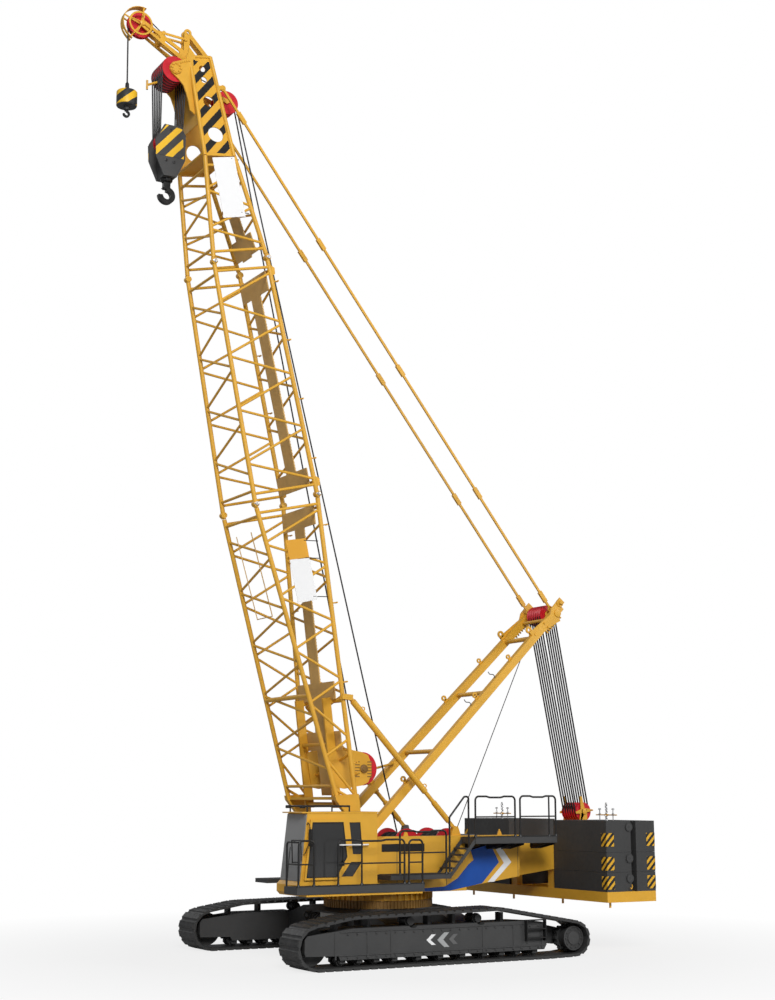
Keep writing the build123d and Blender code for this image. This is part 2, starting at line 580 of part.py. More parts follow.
# Lower mast-hoist block on the tail
BLOCK_X, BLOCK_Z, BLOCK_R = -6040.0, 3345.0, 240.0
bracket = [plate_y([(-6150, 2500), (-6120, BLOCK_Z + 60), (-5960, BLOCK_Z + 60), (-5800, 2560)], y, y + 40)
           for y in (330, -370)]
keep("lower_block_bracket", fuse(bracket + [box(-6150, -5800, -370, 370, 2440, 2500),
                                            disc_y(BLOCK_X, BLOCK_Z, 45, -370, 370)]))


def sheaves(x, z, radius, y0, y1, count, hub, bore):
    """Grooved rope sheaves side by side on one axle, with a bore."""
    pitch = (y1 - y0) / count
    discs = []
    for i in range(count):
        low = y0 + i * pitch
        discs.append(disc_y(x, z, radius, low, low + pitch * 0.22))
        discs.append(disc_y(x, z, radius, low + pitch * 0.78, low + pitch))
        discs.append(disc_y(x, z, radius * 0.86, low + pitch * 0.2, low + pitch * 0.8))
    return fuse(discs + [disc_y(x, z, hub, y0, y1)]) - disc_y(x, z, bore, y0 - 1, y1 + 1)


keep("lower_block_sheaves", sheaves(BLOCK_X, BLOCK_Z, BLOCK_R, -320, 320, 6, 90, 50))


# ---------------------------------------------------------------- winches
def drum(x, z, flange, barrel, half, bore):
    """A rope drum between two flanges, with a bore for its axle."""
    body = disc_y(x, z, barrel, -half, half)
    flanges = [disc_y(x, z, flange, s * half, s * (half - 45)) for s in (1, -1)]
    return fuse([body] + flanges) - disc_y(x, z, bore, -half - 1, half + 1)


def drum_stand(x, z, half, bore, low):
    """End plates and axle of a deck winch."""
    plates = [plate_y([(x - 260, low), (x - 120, z + 90), (x + 120, z + 90), (x + 260, low)],
                      s * (half + 10), s * (half + 50)) for s in (1, -1)]
    return fuse(plates + [disc_y(x, z, bore - 0.5, -half - 50, half + 50), box(x - 260, x + 260, -half - 50, half + 50, low - 40, low)])


for name, x in DECK_WINCHES:
    keep(name, drum(x, DECK_WINCH_Z, DECK_WINCH_R, 220, 500, 60))
stands = [drum_stand(x, DECK_WINCH_Z, 500, 60, 2240) for name, x in DECK_WINCHES]
keep("deck_winch_stands", *stands)
keep("winch_deck", box(-2900, 1640, -675, 675, 2100, 2199))

x, z = BOOM_WINCH
keep("boom_drum", drum(x, z, BOOM_WINCH_R, 300, 620, 70))
winch_outline = [(1660, z + 400), (1380, z + 490), (x + 60, z + 400), (x - 120, z + 330), (x - 215, z + 120),
                 (x - 215, z - 150), (x - 120, z - 330), (x + 40, z - 400), (1310, z - 480), (1520, z - 440)]
winch_plates = [plate_y(winch_outline, s * 640, s * 690) for s in (1, -1)]
# Side beams of the winch's cradle, along the inside of the back chords
cradle = [plate_y([(1411, 3470), (1742, 6090), (1960, 6060), (1640, 3470)], s * 690, s * 750) for s in (1, -1)]


# ---------------------------------------------------------------- lattice boom
def corner(station, chord, side):
    """Centre of one chord at a station."""
    x, z = station[chord]
    return Vector(x, side * station["half"], z)


def lattice(low, high, panels, cut_low=0.0, cut_high=0.0, grow=0.0):
    """A tapered lattice section: four chords, zigzag lacing on each face, a frame at each end."""
    ends = {}
    for chord in ("back", "front"):
        for side in (1, -1):
            a, b = corner(low, chord, side), corner(high, chord, side)
            run = (b - a).normalized()
            ends[chord, side] = (a + run * cut_low - run * grow, b - run * cut_high + run * grow)
    pieces = [rod(tuple(a), tuple(b), CHORD_R) for a, b in ends.values()]
    length = (corner(high, "back", 1) - corner(low, "back", 1)).length

    def at(chord, side, t):
        a, b = corner(low, chord, side), corner(high, chord, side)
        return a + (b - a) * t

    def lace(a, b, radius):
        """A lacing tube whose ends stay inside the chords, clear of their centres."""
        run = (b - a).normalized()
        return rod(tuple(a + run * LACE_END), tuple(b - run * LACE_END), radius)

    apart = LACE_APART / length
    first, last = LACE_MARGIN / length, 1 - LACE_MARGIN / length
    step = (last - first) / panels
    side_faces = [(("back", 1), ("front", 1)), (("back", -1), ("front", -1))]
    cross_faces = [(("front", 1), ("front", -1)), (("back", -1), ("back", 1))]
    for edges in side_faces + cross_faces:
        shifted = edges in cross_faces
        nodes = [first + step * (i + (0.5 if shifted else 0.0)) for i in range(panels + (not shifted))]
        for i, (t0, t1) in enumerate(zip(nodes, nodes[1:])):
            start, end = edges[i % 2], edges[(i + 1) % 2]
            pieces.append(lace(at(*start, t0 + apart), at(*end, t1 - apart), LACE_R))
        for t in (first - 3.2 * apart, last + 3.2 * apart):
            if shifted:
                t += 2.2 * apart if t < 0.5 else -2.2 * apart
            pieces.append(lace(at(*edges[0], t), at(*edges[1], t), LACE_R + 4))
    return pieces


def pin_bosses(station, radius=PIN_BOSS_R):
    """Eye bosses at the four chords of a joint."""
    bosses = []
    for chord in ("back", "front"):
        x, z = station[chord]
        for side in (1, -1):
            y = side * station["half"]
            bosses.append(disc_y(x, z, radius, y - 75, y + 75))
    return bosses


def joint_plates(low, high):
    """Triangular plates on the outside of the back chords, near each end of a section."""
    plates = []
    (x0, z0), (x1, z1) = low["back"], high["back"]
    length = hypot(x1 - x0, z1 - z0)
    ux, uz = (x1 - x0) / length, (z1 - z0) / length
    for station, start in ((low, 170.0), (high, -470.0)):
        x, z = station["back"]
        for side in (1, -1):
            y = side * (station["half"] - 4)
            outline = []
            for s, out in ((0, 20), (40, 130), (200, 150), (300, 20)):
                outline.append((x + ux * (start + s) - uz * out, z + uz * (start + s) + ux * out))
            plates.append(plate_y(outline, y - 14, y + 14))
    return plates


JOINT_CUT = 105.0
base_pieces = lattice(FOOT_STATION, J1_STATION, 10, cut_high=JOINT_CUT)
foot_plates = []
for side in (1, -1):
    plate = plate_y([(BOOM_FOOT[0] - 118, BOOM_FOOT[1] - 50), (BOOM_FOOT[0] - 105, BOOM_FOOT[1] + 90), (1235, 3400),
                     (1285, 3800), (1920, 3760), (1890, 3650), (1640, 3360), (BOOM_FOOT[0] + 110, BOOM_FOOT[1] + 90),
                     (BOOM_FOOT[0] + 118, BOOM_FOOT[1] - 50), (BOOM_FOOT[0], 2590)],
                    side * 1205, side * 1355)
    foot_plates.append(plate - disc_y(*BOOM_FOOT, 60.05, side * 1200, side * 1360))
floor_beam = box(1270, 1840, -1205, 1205, 3660, 3720)
ring_t = 0.345
ring_pieces = []
for chord in ("back", "front"):
    a = corner(FOOT_STATION, chord, 1) + (corner(J1_STATION, chord, 1) - corner(FOOT_STATION, chord, 1)) * ring_t
    ring_pieces.append(rod(tuple(a), (a.X, -a.Y, a.Z), 55))
stop_lugs = []
for side in (1, -1):
    stop_lugs.append(disc_y(*STOP_TOP, 25, side * (STOP_Y - 75), side * (STOP_Y + 75)))
    for y0, y1 in ((STOP_Y - 75, STOP_Y - 45), (STOP_Y + 45, STOP_Y + 75)):
        stop_lugs.append(bar((STOP_TOP[0] + 180, STOP_TOP[1] + 15), STOP_TOP, 130, side * y0, side * y1, extend=50))
base_section = fuse(base_pieces + foot_plates + [floor_beam] + ring_pieces + stop_lugs)
keep("boom_base_section", base_section)
keep("boom_insert_section", fuse(lattice(J1_STATION, J2_STATION, 8, grow=JOINT_CUT - 10)
                                 + pin_bosses(J1_STATION) + pin_bosses(J2_STATION)
                                 + joint_plates(J1_STATION, J2_STATION)))
keep("boom_top_section", fuse(lattice(J2_STATION, HEAD_STATION, 4, cut_low=JOINT_CUT, cut_high=16)))
cradle_ties = [rod((1560, -700, 3560), (1560, 700, 3560), 45), rod((1730, -700, 4980), (1730, 700, 4980), 40)]
cradle_ties += [rod((1490, s * 1290, 3500), (1490, s * 720, 3560), 40) for s in (1, -1)]
cradle_ties += [box(1640, 1800, min(s * 695, s * 745), max(s * 695, s * 745), 5955, 6025) for s in (1, -1)]
winch_frame = fuse(winch_plates + cradle + cradle_ties + [disc_y(x, z, 69.5, -690, 690)]) - base_section
keep("boom_winch_frame", fuse([piece for piece in winch_frame.solids() if piece.volume > 1e6]))


# ---------------------------------------------------------------- gratings inside the boom's back face
def grating(low, high, s0, s1, half, offset=75.0, thick=28.0):
    """A flat grating strip in the back face's plane, between two distances above a station."""
    (x0, z0), (x1, z1) = low["back"], high["back"]
    length = hypot(x1 - x0, z1 - z0)
    ux, uz = (x1 - x0) / length, (z1 - z0) / length
    corners = []
    for s, out in ((s0, offset), (s1, offset), (s1, offset + thick), (s0, offset + thick)):
        corners.append((x0 + ux * s + uz * out, z0 + uz * s - ux * out))
    return plate_y(corners, -half, half)


# section's low and high stations, and each grating's start, end and half width
GRATINGS = [
    (FOOT_STATION, J1_STATION, [(400, 7280, 250), (1490, 1930, 1020), (2690, 3120, 960), (6950, 7430, 860)]),
    (J1_STATION, J2_STATION, [(300, 5640, 250), (230, 690, 830), (5200, 5690, 730)]),
    (J2_STATION, HEAD_STATION, [(200, 2330, 250), (260, 760, 560)]),
]
keep("boom_walkways", *[fuse([grating(low, high, *strip) for strip in strips])
                        for low, high, strips in GRATINGS])


def pendant_fork(centre, side, root):
    """Two plates and a pin that hold a pendant's eye, with the plates reaching back to root."""
    plates = [bar(root, centre, 100, side * y0, side * y1, extend=30)
              for y0, y1 in ((PENDANT_Y - 40, PENDANT_Y - 27), (PENDANT_Y + 27, PENDANT_Y + 40))]
    return plates + [disc_y(*centre, PENDANT_PIN_R, side * (PENDANT_Y - 40), side * (PENDANT_Y + 40))]


# ---------------------------------------------------------------- boom head
def head_corner(chord, t, side):
    low, high = corner(HEAD_STATION, chord, side), corner(TIP_STATION, chord, side)
    return low + (high - low) * t


def head_side(side):
    """Tapered side plate of the head, leaning inwards towards the tip."""
    low = ((HEAD_STATION["back"][0] + HEAD_STATION["front"][0]) / 2,
           (HEAD_STATION["back"][1] + HEAD_STATION["front"][1]) / 2)
    tip = ((TIP_STATION["back"][0] + TIP_STATION["front"][0]) / 2,
           (TIP_STATION["back"][1] + TIP_STATION["front"][1]) / 2)
    length = hypot(tip[0] - low[0], tip[1] - low[1])
    ux, uz = (tip[0] - low[0]) / length, (tip[1] - low[1]) / length
    wide, narrow, thick = HEAD_STATION["half"], TIP_STATION["half"], 30.0
    lean = (wide - narrow) / length
    ends = [(wide + 200 * lean, -200), (wide + 200 * lean - thick, -200),
            (narrow - 200 * lean - thick, length + 200), (narrow - 200 * lean, length + 200)]
    strip = [(low[0] + ux * s, side * y, low[1] + uz * s) for y, s in ends]
    face = make_face(Polyline(*strip, close=True))
    slab = extrude(face, amount=1500, dir=(uz, 0, -ux), both=True)
    outline = [HEAD_STATION["back"], TIP_STATION["back"], TIP_STATION["front"], HEAD_STATION["front"]]
    return slab & plate_y(outline, -1000, 1000)


HEAD_HOLES = [(5295.0, 21590.0, 85), (5260.0, 21280.0, 85), (5160.0, 20690.0, 145), (5015.0, 19800.0, 200)]


def head_front():
    """Plate over the front of the head, between its front chords."""
    corners = [head_corner("front", t, side) for t, side in ((0.33, 1), (0.33, -1), (0.95, -1), (0.95, 1))]
    face = make_face(Polyline(*[tuple(c) for c in corners], close=True))
    return extrude(face, amount=10, both=True)


head_pieces = [head_front()]
for side in (1, -1):
    slab = head_side(side)
    for hx, hz, hr in HEAD_HOLES:
        slab = slab - disc_y(hx, hz, hr, side * 300, side * 900)
    head_pieces.append(slab)
    for chord in ("back", "front"):
        head_pieces.append(rod(tuple(head_corner(chord, 0, side)), tuple(head_corner(chord, 1, side)), 48))
    head_pieces.append(rod(tuple(head_corner("back", 1, side)), tuple(head_corner("front", 1, side)), 40))
for chord in ("back", "front"):
    for t in (0.03, 1.0):
        head_pieces.append(rod(tuple(head_corner(chord, t, 1)), tuple(head_corner(chord, t, -1)), 40))
head_pieces.append(plate_y([(4575, 19370), (4582, 19400), (5362, 19270), (5354, 19240)], -785, 785))
cheek = [(5440, 20310), (5600, 20420), (5640, 20610), (5695, 20810), (5790, 21040), (5920, 21165), (6090, 21290),
         (6155, 21380), (6155, 21480), (6090, 21570), (5730, 21740), (5650, 22070), (5500, 21900)]
for side in (1, -1):
    head_pieces.append(plate_y(cheek, side * 395, side * 435))
    head_pieces.append(disc_y(*HEAD_AXLE, 150, side * 435, side * 465))
    head_pieces.append(fuse([bar((5600, 21850), (EYE[0] + 15, EYE[1] - 10), 150, side * EYE_IN, side * EYE_OUT),
                             bar((5010, 22050), (EYE[0] - 40, EYE[1] - 40), 110, side * EYE_IN, side * EYE_OUT),
                             disc_y(*EYE, 100, side * EYE_IN, side * EYE_OUT),
                             plate_y([(4930, 21930), (4930, 22110), (5110, 22160), (5110, 21930)],
                                     side * EYE_IN, side * EYE_OUT)]))
head = fuse(head_pieces)
for side in (1, -1):
    head = head - disc_y(*EYE, EYE_R, side * (EYE_IN - 5), side * (EYE_OUT + 5))
guide_axle = (4490.0, 20970.0)
guide_arms = [bar((5080.0, 21130.0), guide_axle, 120, s * 190, s * 220) for s in (1, -1)]
pendant_pins = []
for side in (1, -1):
    pendant_pins += pendant_fork(PENDANT_TOP, side, (PENDANT_TOP[0] + 120.0, PENDANT_TOP[1] - 20.0))
guide_bar = rod((5000.0, -440.0, 21150.0), (5000.0, 440.0, 21150.0), 45)
head = fuse([head, disc_y(*HEAD_AXLE, 55, -400, 400), guide_bar, disc_y(*guide_axle, 40, -220, 220)]
            + guide_arms + pendant_pins)
keep("boom_head", head)
keep("head_sheaves", sheaves(*HEAD_AXLE, HEAD_SHEAVE_R, -380, 380, 6, 100, 55.5))

HOOP_R, HOOP_FROM, HOOP_TO = 455.0, -62, 106      # rope guard round the aux sheave, degrees from the front
ROPE_SLOT = 28.0


def jib_hoop():
    """Curved guard plate round the front of the aux sheave, slotted for its rope, on spokes from the axle."""
    jx, jz = JIB_SHEAVE
    steps = [HOOP_FROM + (HOOP_TO - HOOP_FROM) * i / 14 for i in range(15)]
    outline = [(jx + HOOP_R * cos(radians(a)), jz + HOOP_R * sin(radians(a))) for a in steps]
    outline += [(jx + (HOOP_R + 16) * cos(radians(a)), jz + (HOOP_R + 16) * sin(radians(a))) for a in steps[::-1]]
    guard = plate_y(outline, -105, 105) - box(jx, jx + 600, -ROPE_SLOT, ROPE_SLOT, jz - 430, jz - 180)
    for angle in (-55, 20, 98):
        tip = (jx + (HOOP_R + 4) * cos(radians(angle)), jz + (HOOP_R + 4) * sin(radians(angle)))
        guard = guard + bar(JIB_SHEAVE, tip, 40, 85, 100) + bar(JIB_SHEAVE, tip, 40, -100, -85)
    return guard


arm = [(5540, 21800), (5560, 21950), (5700, 22075), (6740, 22610), (6830, 22615), (6880, 22550), (6860, 22470),
       (5790, 21820), (5680, 21760)]
hole = [(5800, 21960), (5830, 22040), (6180, 22220), (6210, 22170)]
hole_2 = [(6330, 22240), (6340, 22310), (6620, 22460), (6640, 22410)]
jib_pieces = []
for side in (1, -1):
    side_plate = plate_y(arm, side * 150, side * 185) - plate_y(hole, side * 140, side * 190)
    side_plate = side_plate - plate_y(hole_2, side * 140, side * 190)
    jib_pieces.append(side_plate - disc_y(5620, 21860, 40.05, side * 140, side * 190))
    tie = bar((5640, 22420), (6430, 22450), 60, side * 102, side * 122)
    jib_pieces += [tie, disc_y(5640, 22420, 45, side * 102, side * 140), disc_y(6218, 22442, 55, side * 95, side * 135)]
jib_pieces += [box(5730, 5790, -150, 150, 21900, 21990), box(6230, 6290, -150, 150, 22180, 22260),
               box(6400, 6450, -150, 150, 22330, 22470)]
keep("aux_jib", fuse(jib_pieces + [jib_hoop(), disc_y(*JIB_SHEAVE, 35, -185, 185)]))
keep("aux_sheave", sheaves(*JIB_SHEAVE, JIB_SHEAVE_R, -60, 60, 1, 80, 35.5))
keep("guide_sheaves", sheaves(*guide_axle, 300, -170, 170, 2, 80, 40.5))


# ---------------------------------------------------------------- hooks
def hook(x, z, size, thick):
    """A single hook hanging from (x, z), drawn as a J of flat bar."""
    shank = box(x - size * 0.14, x + size * 0.14, -thick / 2, thick / 2, z - size * 0.45, z)
    bowl = ring_y(x, z - size * 0.72, size * 0.36, size * 0.17, -thick / 2, thick / 2)
    mouth = box(x + size * 0.02, x + size * 0.5, -thick, thick, z - size * 0.72, z - size * 0.42)
    return fuse([shank, bowl - mouth])


BLOCK_TOP, BLOCK_LOW = 20000.0, 18680.0
block_side = [(HOOK_X - 250, BLOCK_TOP), (HOOK_X + 180, BLOCK_TOP), (HOOK_X + 390, 19600), (HOOK_X + 390, 19150),
              (HOOK_X + 170, BLOCK_LOW), (HOOK_X - 170, BLOCK_LOW), (HOOK_X - 380, 19150), (HOOK_X - 380, 19800)]
block_plates = [plate_y(block_side, s * 215, s * 255) for s in (1, -1)]
block_core = plate_y([(HOOK_X - 200, 19250), (HOOK_X + 200, 19250), (HOOK_X + 160, BLOCK_LOW),
                      (HOOK_X - 160, BLOCK_LOW)], -215, 215)
keep("hook_block", fuse(block_plates + [block_core, disc_y(HOOK_X, 19650, 45, -215, 215)]))
keep("hook_block_sheaves", sheaves(HOOK_X, 19650, 300, -205, 205, 6, 80, 45.5))
keep("main_hook", hook(HOOK_X, BLOCK_LOW, 600, 130))
ball = Pos(BALL_X, 0, 20540) * Cylinder(255, 420)
ball = ball + Pos(BALL_X, 0, 20790) * Cylinder(60, 100)
keep("aux_hook_weight", ball)
keep("aux_hook", hook(BALL_X, 20330, 250, 55))


# ---------------------------------------------------------------- mast
MAST_FOOT_Y, MAST_HEAD_Y = 900.0, 620.0


def mast_leg(side):
    """A box leg of the mast, closer to the centre at the head."""
    foot, tip = MAST_FOOT, (MAST_HEAD[0] - 230.0, MAST_HEAD[1] + 60.0)
    length = hypot(tip[0] - foot[0], tip[1] - foot[1])
    ux, uz = (tip[0] - foot[0]) / length, (tip[1] - foot[1]) / length
    start = Vector(foot[0] + ux * 150, side * MAST_FOOT_Y, foot[1] + uz * 150)
    end = Vector(tip[0], side * MAST_HEAD_Y, tip[1])
    plane = Plane(origin=start, x_dir=(0, 1, 0), z_dir=end - start)
    leg = extrude(plane * Rectangle(MAST_WALL_Y, MAST_DEPTH), amount=(end - start).length)
    eye = disc_y(*foot, 120, side * (MAST_FOOT_Y - 80), side * (MAST_FOOT_Y + 80))
    neck = bar(foot, along(foot, tip, 260), 190, side * (MAST_FOOT_Y - 78), side * (MAST_FOOT_Y + 78))
    return fuse([leg, eye, neck]) - disc_y(*foot, 50.05, side * 800, side * 1000)


def mast_point(distance):
    """Point on the mast's centre line, from the foot pin."""
    tip = (MAST_HEAD[0] - 230.0, MAST_HEAD[1] + 60.0)
    return along(MAST_FOOT, tip, distance)


MAST_TOP_PLATE = [(-4134, 7948), (-4796, 8452), (-4841, 8623), (-5116, 8928), (-5267, 8801), (-5025, 8566),
                  (-5122, 8301), (-4955, 8225), (-4292, 7772)]
mast_pieces = [mast_leg(1), mast_leg(-1)]
for side in (1, -1):
    mast_pieces.append(plate_y(MAST_TOP_PLATE, side * 695, side * 730))
    mast_pieces.append(disc_y(-5111, 8779, 100, side * 690, side * 755))
fork_root = (MAST_HEAD[0] - 120.0, MAST_HEAD[1] - 130.0)
mast_lugs_top = [part for side in (1, -1) for part in pendant_fork(MAST_HEAD, side, fork_root)]
for distance, radius in ((3050, 55), (5200, 55), (7300, 60)):
    px, pz = mast_point(distance)
    mast_pieces.append(rod((px, -850, pz), (px, 850, pz), radius) & box(px - 200, px + 200, -(900 - distance * 0.033), 900 - distance * 0.033, pz - 200, pz + 200))
head_axle = mast_point(8050)
mast_pieces.append(disc_y(*head_axle, 45, -600, 600))
keep("mast", fuse(mast_pieces + mast_lugs_top))
keep("mast_sheaves", sheaves(*head_axle, 230, -500, 500, 8, 80, 45.5))


# ---------------------------------------------------------------- pendants
def pendant(side):
    """Bars end to end with flat link heads, a close eye at the boom and a roomy one at the mast."""
    y0, y1 = side * (PENDANT_Y - 22), side * (PENDANT_Y + 22)
    total = hypot(MAST_HEAD[0] - PENDANT_TOP[0], MAST_HEAD[1] - PENDANT_TOP[1])
    pieces = [bar(PENDANT_TOP, MAST_HEAD, 60, y0, y1)]
    pieces += [disc_y(*PENDANT_TOP, PENDANT_EYE_R, y0, y1), disc_y(*MAST_HEAD, PENDANT_EYE_R, y0, y1)]
    for distance in LINK_HEADS:
        p = along(PENDANT_TOP, MAST_HEAD, distance)
        q = along(PENDANT_TOP, MAST_HEAD, distance + 320)
        pieces.append(bar(p, q, 110, side * (PENDANT_Y - 35), side * (PENDANT_Y + 35)))
    strand = fuse(pieces)
    strand = strand - disc_y(*PENDANT_TOP, PENDANT_PIN_R + 0.05, y0 - side * 20, y1 + side * 20)
    return strand - disc_y(*MAST_HEAD, PENDANT_EYE_R - 24, y0 - side * 20, y1 + side * 20)


keep("pendants", pendant(1), pendant(-1))


# ---------------------------------------------------------------- backstops
def stop_point(distance):
    return along(STOP_TOP, STOP_FOOT, distance)


def backstop_tube(side):
    """Upper tube, pinned to the boom, open at its lower end."""
    a, b = stop_point(120), stop_point(3050)
    y = side * STOP_Y
    tube = rod((a[0], y, a[1]), (b[0], y, b[1]), 75)
    c = stop_point(450)
    bore = rod((c[0], y, c[1]), (b[0] + (b[0] - a[0]) * 0.02, y, b[1] + (b[1] - a[1]) * 0.02), 58)
    eye = disc_y(*STOP_TOP, 70, y - 30, y + 30)
    neck = bar(STOP_TOP, stop_point(160), 90, y - 30, y + 30)
    return fuse([tube - bore, eye, neck]) - disc_y(*STOP_TOP, 25.05, y - 40, y + 40)


def backstop_rod(side):
    """Lower rod that slides in the tube, with its flat foot eye."""
    total = hypot(STOP_FOOT[0] - STOP_TOP[0], STOP_FOOT[1] - STOP_TOP[1])
    a, b, c = stop_point(900), stop_point(3400), stop_point(total - 260)
    y = side * STOP_Y
    stem = rod((a[0], y, a[1]), (b[0], y, b[1]), 50)
    sleeve = rod((b[0], y, b[1]), (c[0], y, c[1]), 68)
    tongue = bar(stop_point(total - 300), STOP_FOOT, 80, y - 25, y + 25)
    eye = disc_y(*STOP_FOOT, 70, y - 25, y + 25)
    return fuse([stem, sleeve, tongue, eye])


keep("backstop_tubes", backstop_tube(1), backstop_tube(-1))
keep("backstop_rods", backstop_rod(1), backstop_rod(-1))

for name, shape in PARTS.items():
    export_step(shape, f"parts/{name}.step")
    print(name, round(sum(solid.volume for solid in shape.solids()) / 1e9, 4))
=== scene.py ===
"""Visual model of a crawler crane with a lattice boom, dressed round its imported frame."""

import json
import logging
import math
from dataclasses import dataclass, field
from enum import Enum

import bmesh
import bpy
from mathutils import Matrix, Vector


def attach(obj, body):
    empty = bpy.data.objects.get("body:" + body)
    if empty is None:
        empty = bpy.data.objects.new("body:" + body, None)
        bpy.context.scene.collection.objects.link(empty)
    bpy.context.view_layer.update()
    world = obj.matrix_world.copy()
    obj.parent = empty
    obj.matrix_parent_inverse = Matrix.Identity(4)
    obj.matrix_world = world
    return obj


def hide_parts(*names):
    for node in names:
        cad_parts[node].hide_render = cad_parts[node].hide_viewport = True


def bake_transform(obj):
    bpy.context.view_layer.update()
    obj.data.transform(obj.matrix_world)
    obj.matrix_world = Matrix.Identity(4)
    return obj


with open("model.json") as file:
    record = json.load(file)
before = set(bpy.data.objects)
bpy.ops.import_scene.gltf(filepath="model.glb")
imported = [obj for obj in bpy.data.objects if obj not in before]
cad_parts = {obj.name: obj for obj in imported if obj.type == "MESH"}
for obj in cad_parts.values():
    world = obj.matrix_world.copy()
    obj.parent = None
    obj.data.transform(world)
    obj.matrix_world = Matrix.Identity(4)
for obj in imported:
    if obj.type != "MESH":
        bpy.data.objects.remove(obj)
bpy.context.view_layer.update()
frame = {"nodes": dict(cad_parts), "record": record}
LOG = logging.getLogger("crane")
Point = tuple[float, float, float]
Flat = tuple[float, float]
Socket = bpy.types.NodeSocket

# The bodies that pieces ride on
UPPER, LOWER, BOOM, MAST = "superstructure", "undercarriage", "boom", "mast_frame"
BLOCK, BALL, DOOR, BACKSTOPS = "main_hook_block", "aux_hook_ball", "cab_sliding_door", "backstop_tube_pair"
SIDES = (1, -1)
ACROSS, UP = (0, 1, 0), (0, 0, 1)

# Depth of the paints' orange peel, and the angles from which an edge is shaded sharp or gets a bevel
PEEL_DEPTH = 0.0006
SHARP, BEVELLED = math.radians(35), math.radians(40)

# The least radius of a turned form, which stands for a point, and the most that a tube's mitre stretches
POINT_RADIUS = 1e-4
MOST_STRETCH = 2.0

# Axles along Y, as (x, z) in metres, and where the small hook hangs
HEAD_AXLE, AUX_AXLE, GUIDE_AXLE, BLOCK_AXLE = (6.0, 21.43), (6.81, 22.54), (4.49, 20.97), (6.0, 19.65)
MAST_AXLE, TAIL_AXLE = (-5.03, 8.50), (-6.04, 3.345)
FRONT_DRUM, REAR_DRUM, BOOM_DRUM = (-0.54, 2.62), (-1.70, 2.62), (0.79, 4.40)
DRIVE_AXLE, IDLER_AXLE = (-3.53, 0.43), (3.36, 0.50)
BALL_X = 7.09

# Corners of the boom's back face, from its foot to its head
BOOM_BACK = ((1.285, 3.38), (2.245, 10.995), (3.622, 16.828), (4.55, 19.29))


# ---------------------------------------------------------------- node trees
class Tree:
    """A node tree under construction."""

    prefix = "ShaderNode"

    def __init__(self, tree: bpy.types.NodeTree) -> None:
        """Empties the tree."""
        self.nodes, self.links = tree.nodes, tree.links
        self.nodes.clear()

    def add(self, kind: str, values: dict[str, object] | None = None, **settings: object) -> bpy.types.Node:
        """Adds a node.

        Args:
            kind: the node's type, without the tree's own prefix.
            values: socket names or numbers with a value, or with another node's socket to link.
            settings: the node's own properties.

        Returns:
            The new node.
        """
        node = self.nodes.new(kind if "Node" in kind else self.prefix + kind)
        for name, value in settings.items():
            setattr(node, name, value)
        for name, value in (values or {}).items():
            socket = node.inputs[int(name) if name.isdigit() else name]
            if isinstance(value, Socket):
                self.links.new(value, socket)
            else:
                socket.default_value = value
        return node

    def math(self, operation: str, *values: object) -> Socket:
        """The result of a Math node."""
        return self.add("ShaderNodeMath", {str(i): v for i, v in enumerate(values)}, operation=operation).outputs[0]


class Surface(Tree):
    """A material's tree, with its shader and its place on the object."""

    def __init__(self, material: bpy.types.Material) -> None:
        """Starts the material's tree from its shader and output.

        Args:
            material: the material whose nodes are built.
        """
        material.use_nodes = True
        super().__init__(material.node_tree)
        self.shader = self.add("BsdfPrincipled")
        self.output = self.add("OutputMaterial", {"Surface": self.shader.outputs[0]})
        self.place = self.add("TexCoord").outputs["Object"]

    def wire(self, name: str, source: Socket) -> None:
        """Links a value to one of the shader's sockets."""
        self.links.new(source, self.shader.inputs[name])

    def noise(self, scale: float, detail: float, roughness: float = 0.5) -> Socket:
        """A cloudy value over the object."""
        return self.add("TexNoise", {"Vector": self.place, "Scale": scale, "Detail": detail,
                                     "Roughness": roughness}).outputs["Fac"]

    def fit(self, value: Socket, source: Flat, result: Flat) -> Socket:
        """Maps a value from one range to another."""
        return self.add("MapRange", {"Value": value, "From Min": source[0], "From Max": source[1],
                                     "To Min": result[0], "To Max": result[1]}).outputs[0]

    def along(self, way: Point) -> Socket:
        """How far a place lies along a direction."""
        return self.add("VectorMath", {"0": self.place, "1": way}, operation="DOT_PRODUCT").outputs["Value"]

    def ramp(self, source: Socket, low: float, high: float, first: Point, last: Point) -> Socket:
        """Maps a value between two colours.

        Args:
            source: the value's socket.
            low, high: where the colours begin and end.
            first, last: the two colours.

        Returns:
            The colour's socket.
        """
        node = self.add("ValToRGB", {"Fac": source})
        stops = node.color_ramp.elements
        stops[0].position, stops[1].position = low, high
        stops[0].color, stops[1].color = (*first, 1.0), (*last, 1.0)
        return node.outputs["Color"]


# ---------------------------------------------------------------- finishes
class Slot(Enum):
    """The record's material slots that the pieces take their finish from."""

    YELLOW = "machine_yellow"
    GREY = "dark_grey_paint"
    BLACK = "black_paint"
    RED = "red_paint"
    RUBBER = "black_rubber"
    GLASS = "cab_glass"
    TRACK = "track_steel"
    SILVER = "silver_paint"
    BROWN = "walkway_brown"


@dataclass(frozen=True)
class Finish:
    """A named finish, whose material is made on first use."""

    name: str
    colour: Point
    slot: Slot = Slot.YELLOW

    def build(self) -> bpy.types.Material:
        """The finish as a Blender material.

        Returns:
            The material.
        """
        material = bpy.data.materials.get("finish_" + self.name)
        if not material:
            material = bpy.data.materials.new("finish_" + self.name)
            self.lay(Surface(material))
        return material

    def lay(self, tree: Surface) -> None:
        """Builds the finish's own nodes."""
        raise NotImplementedError


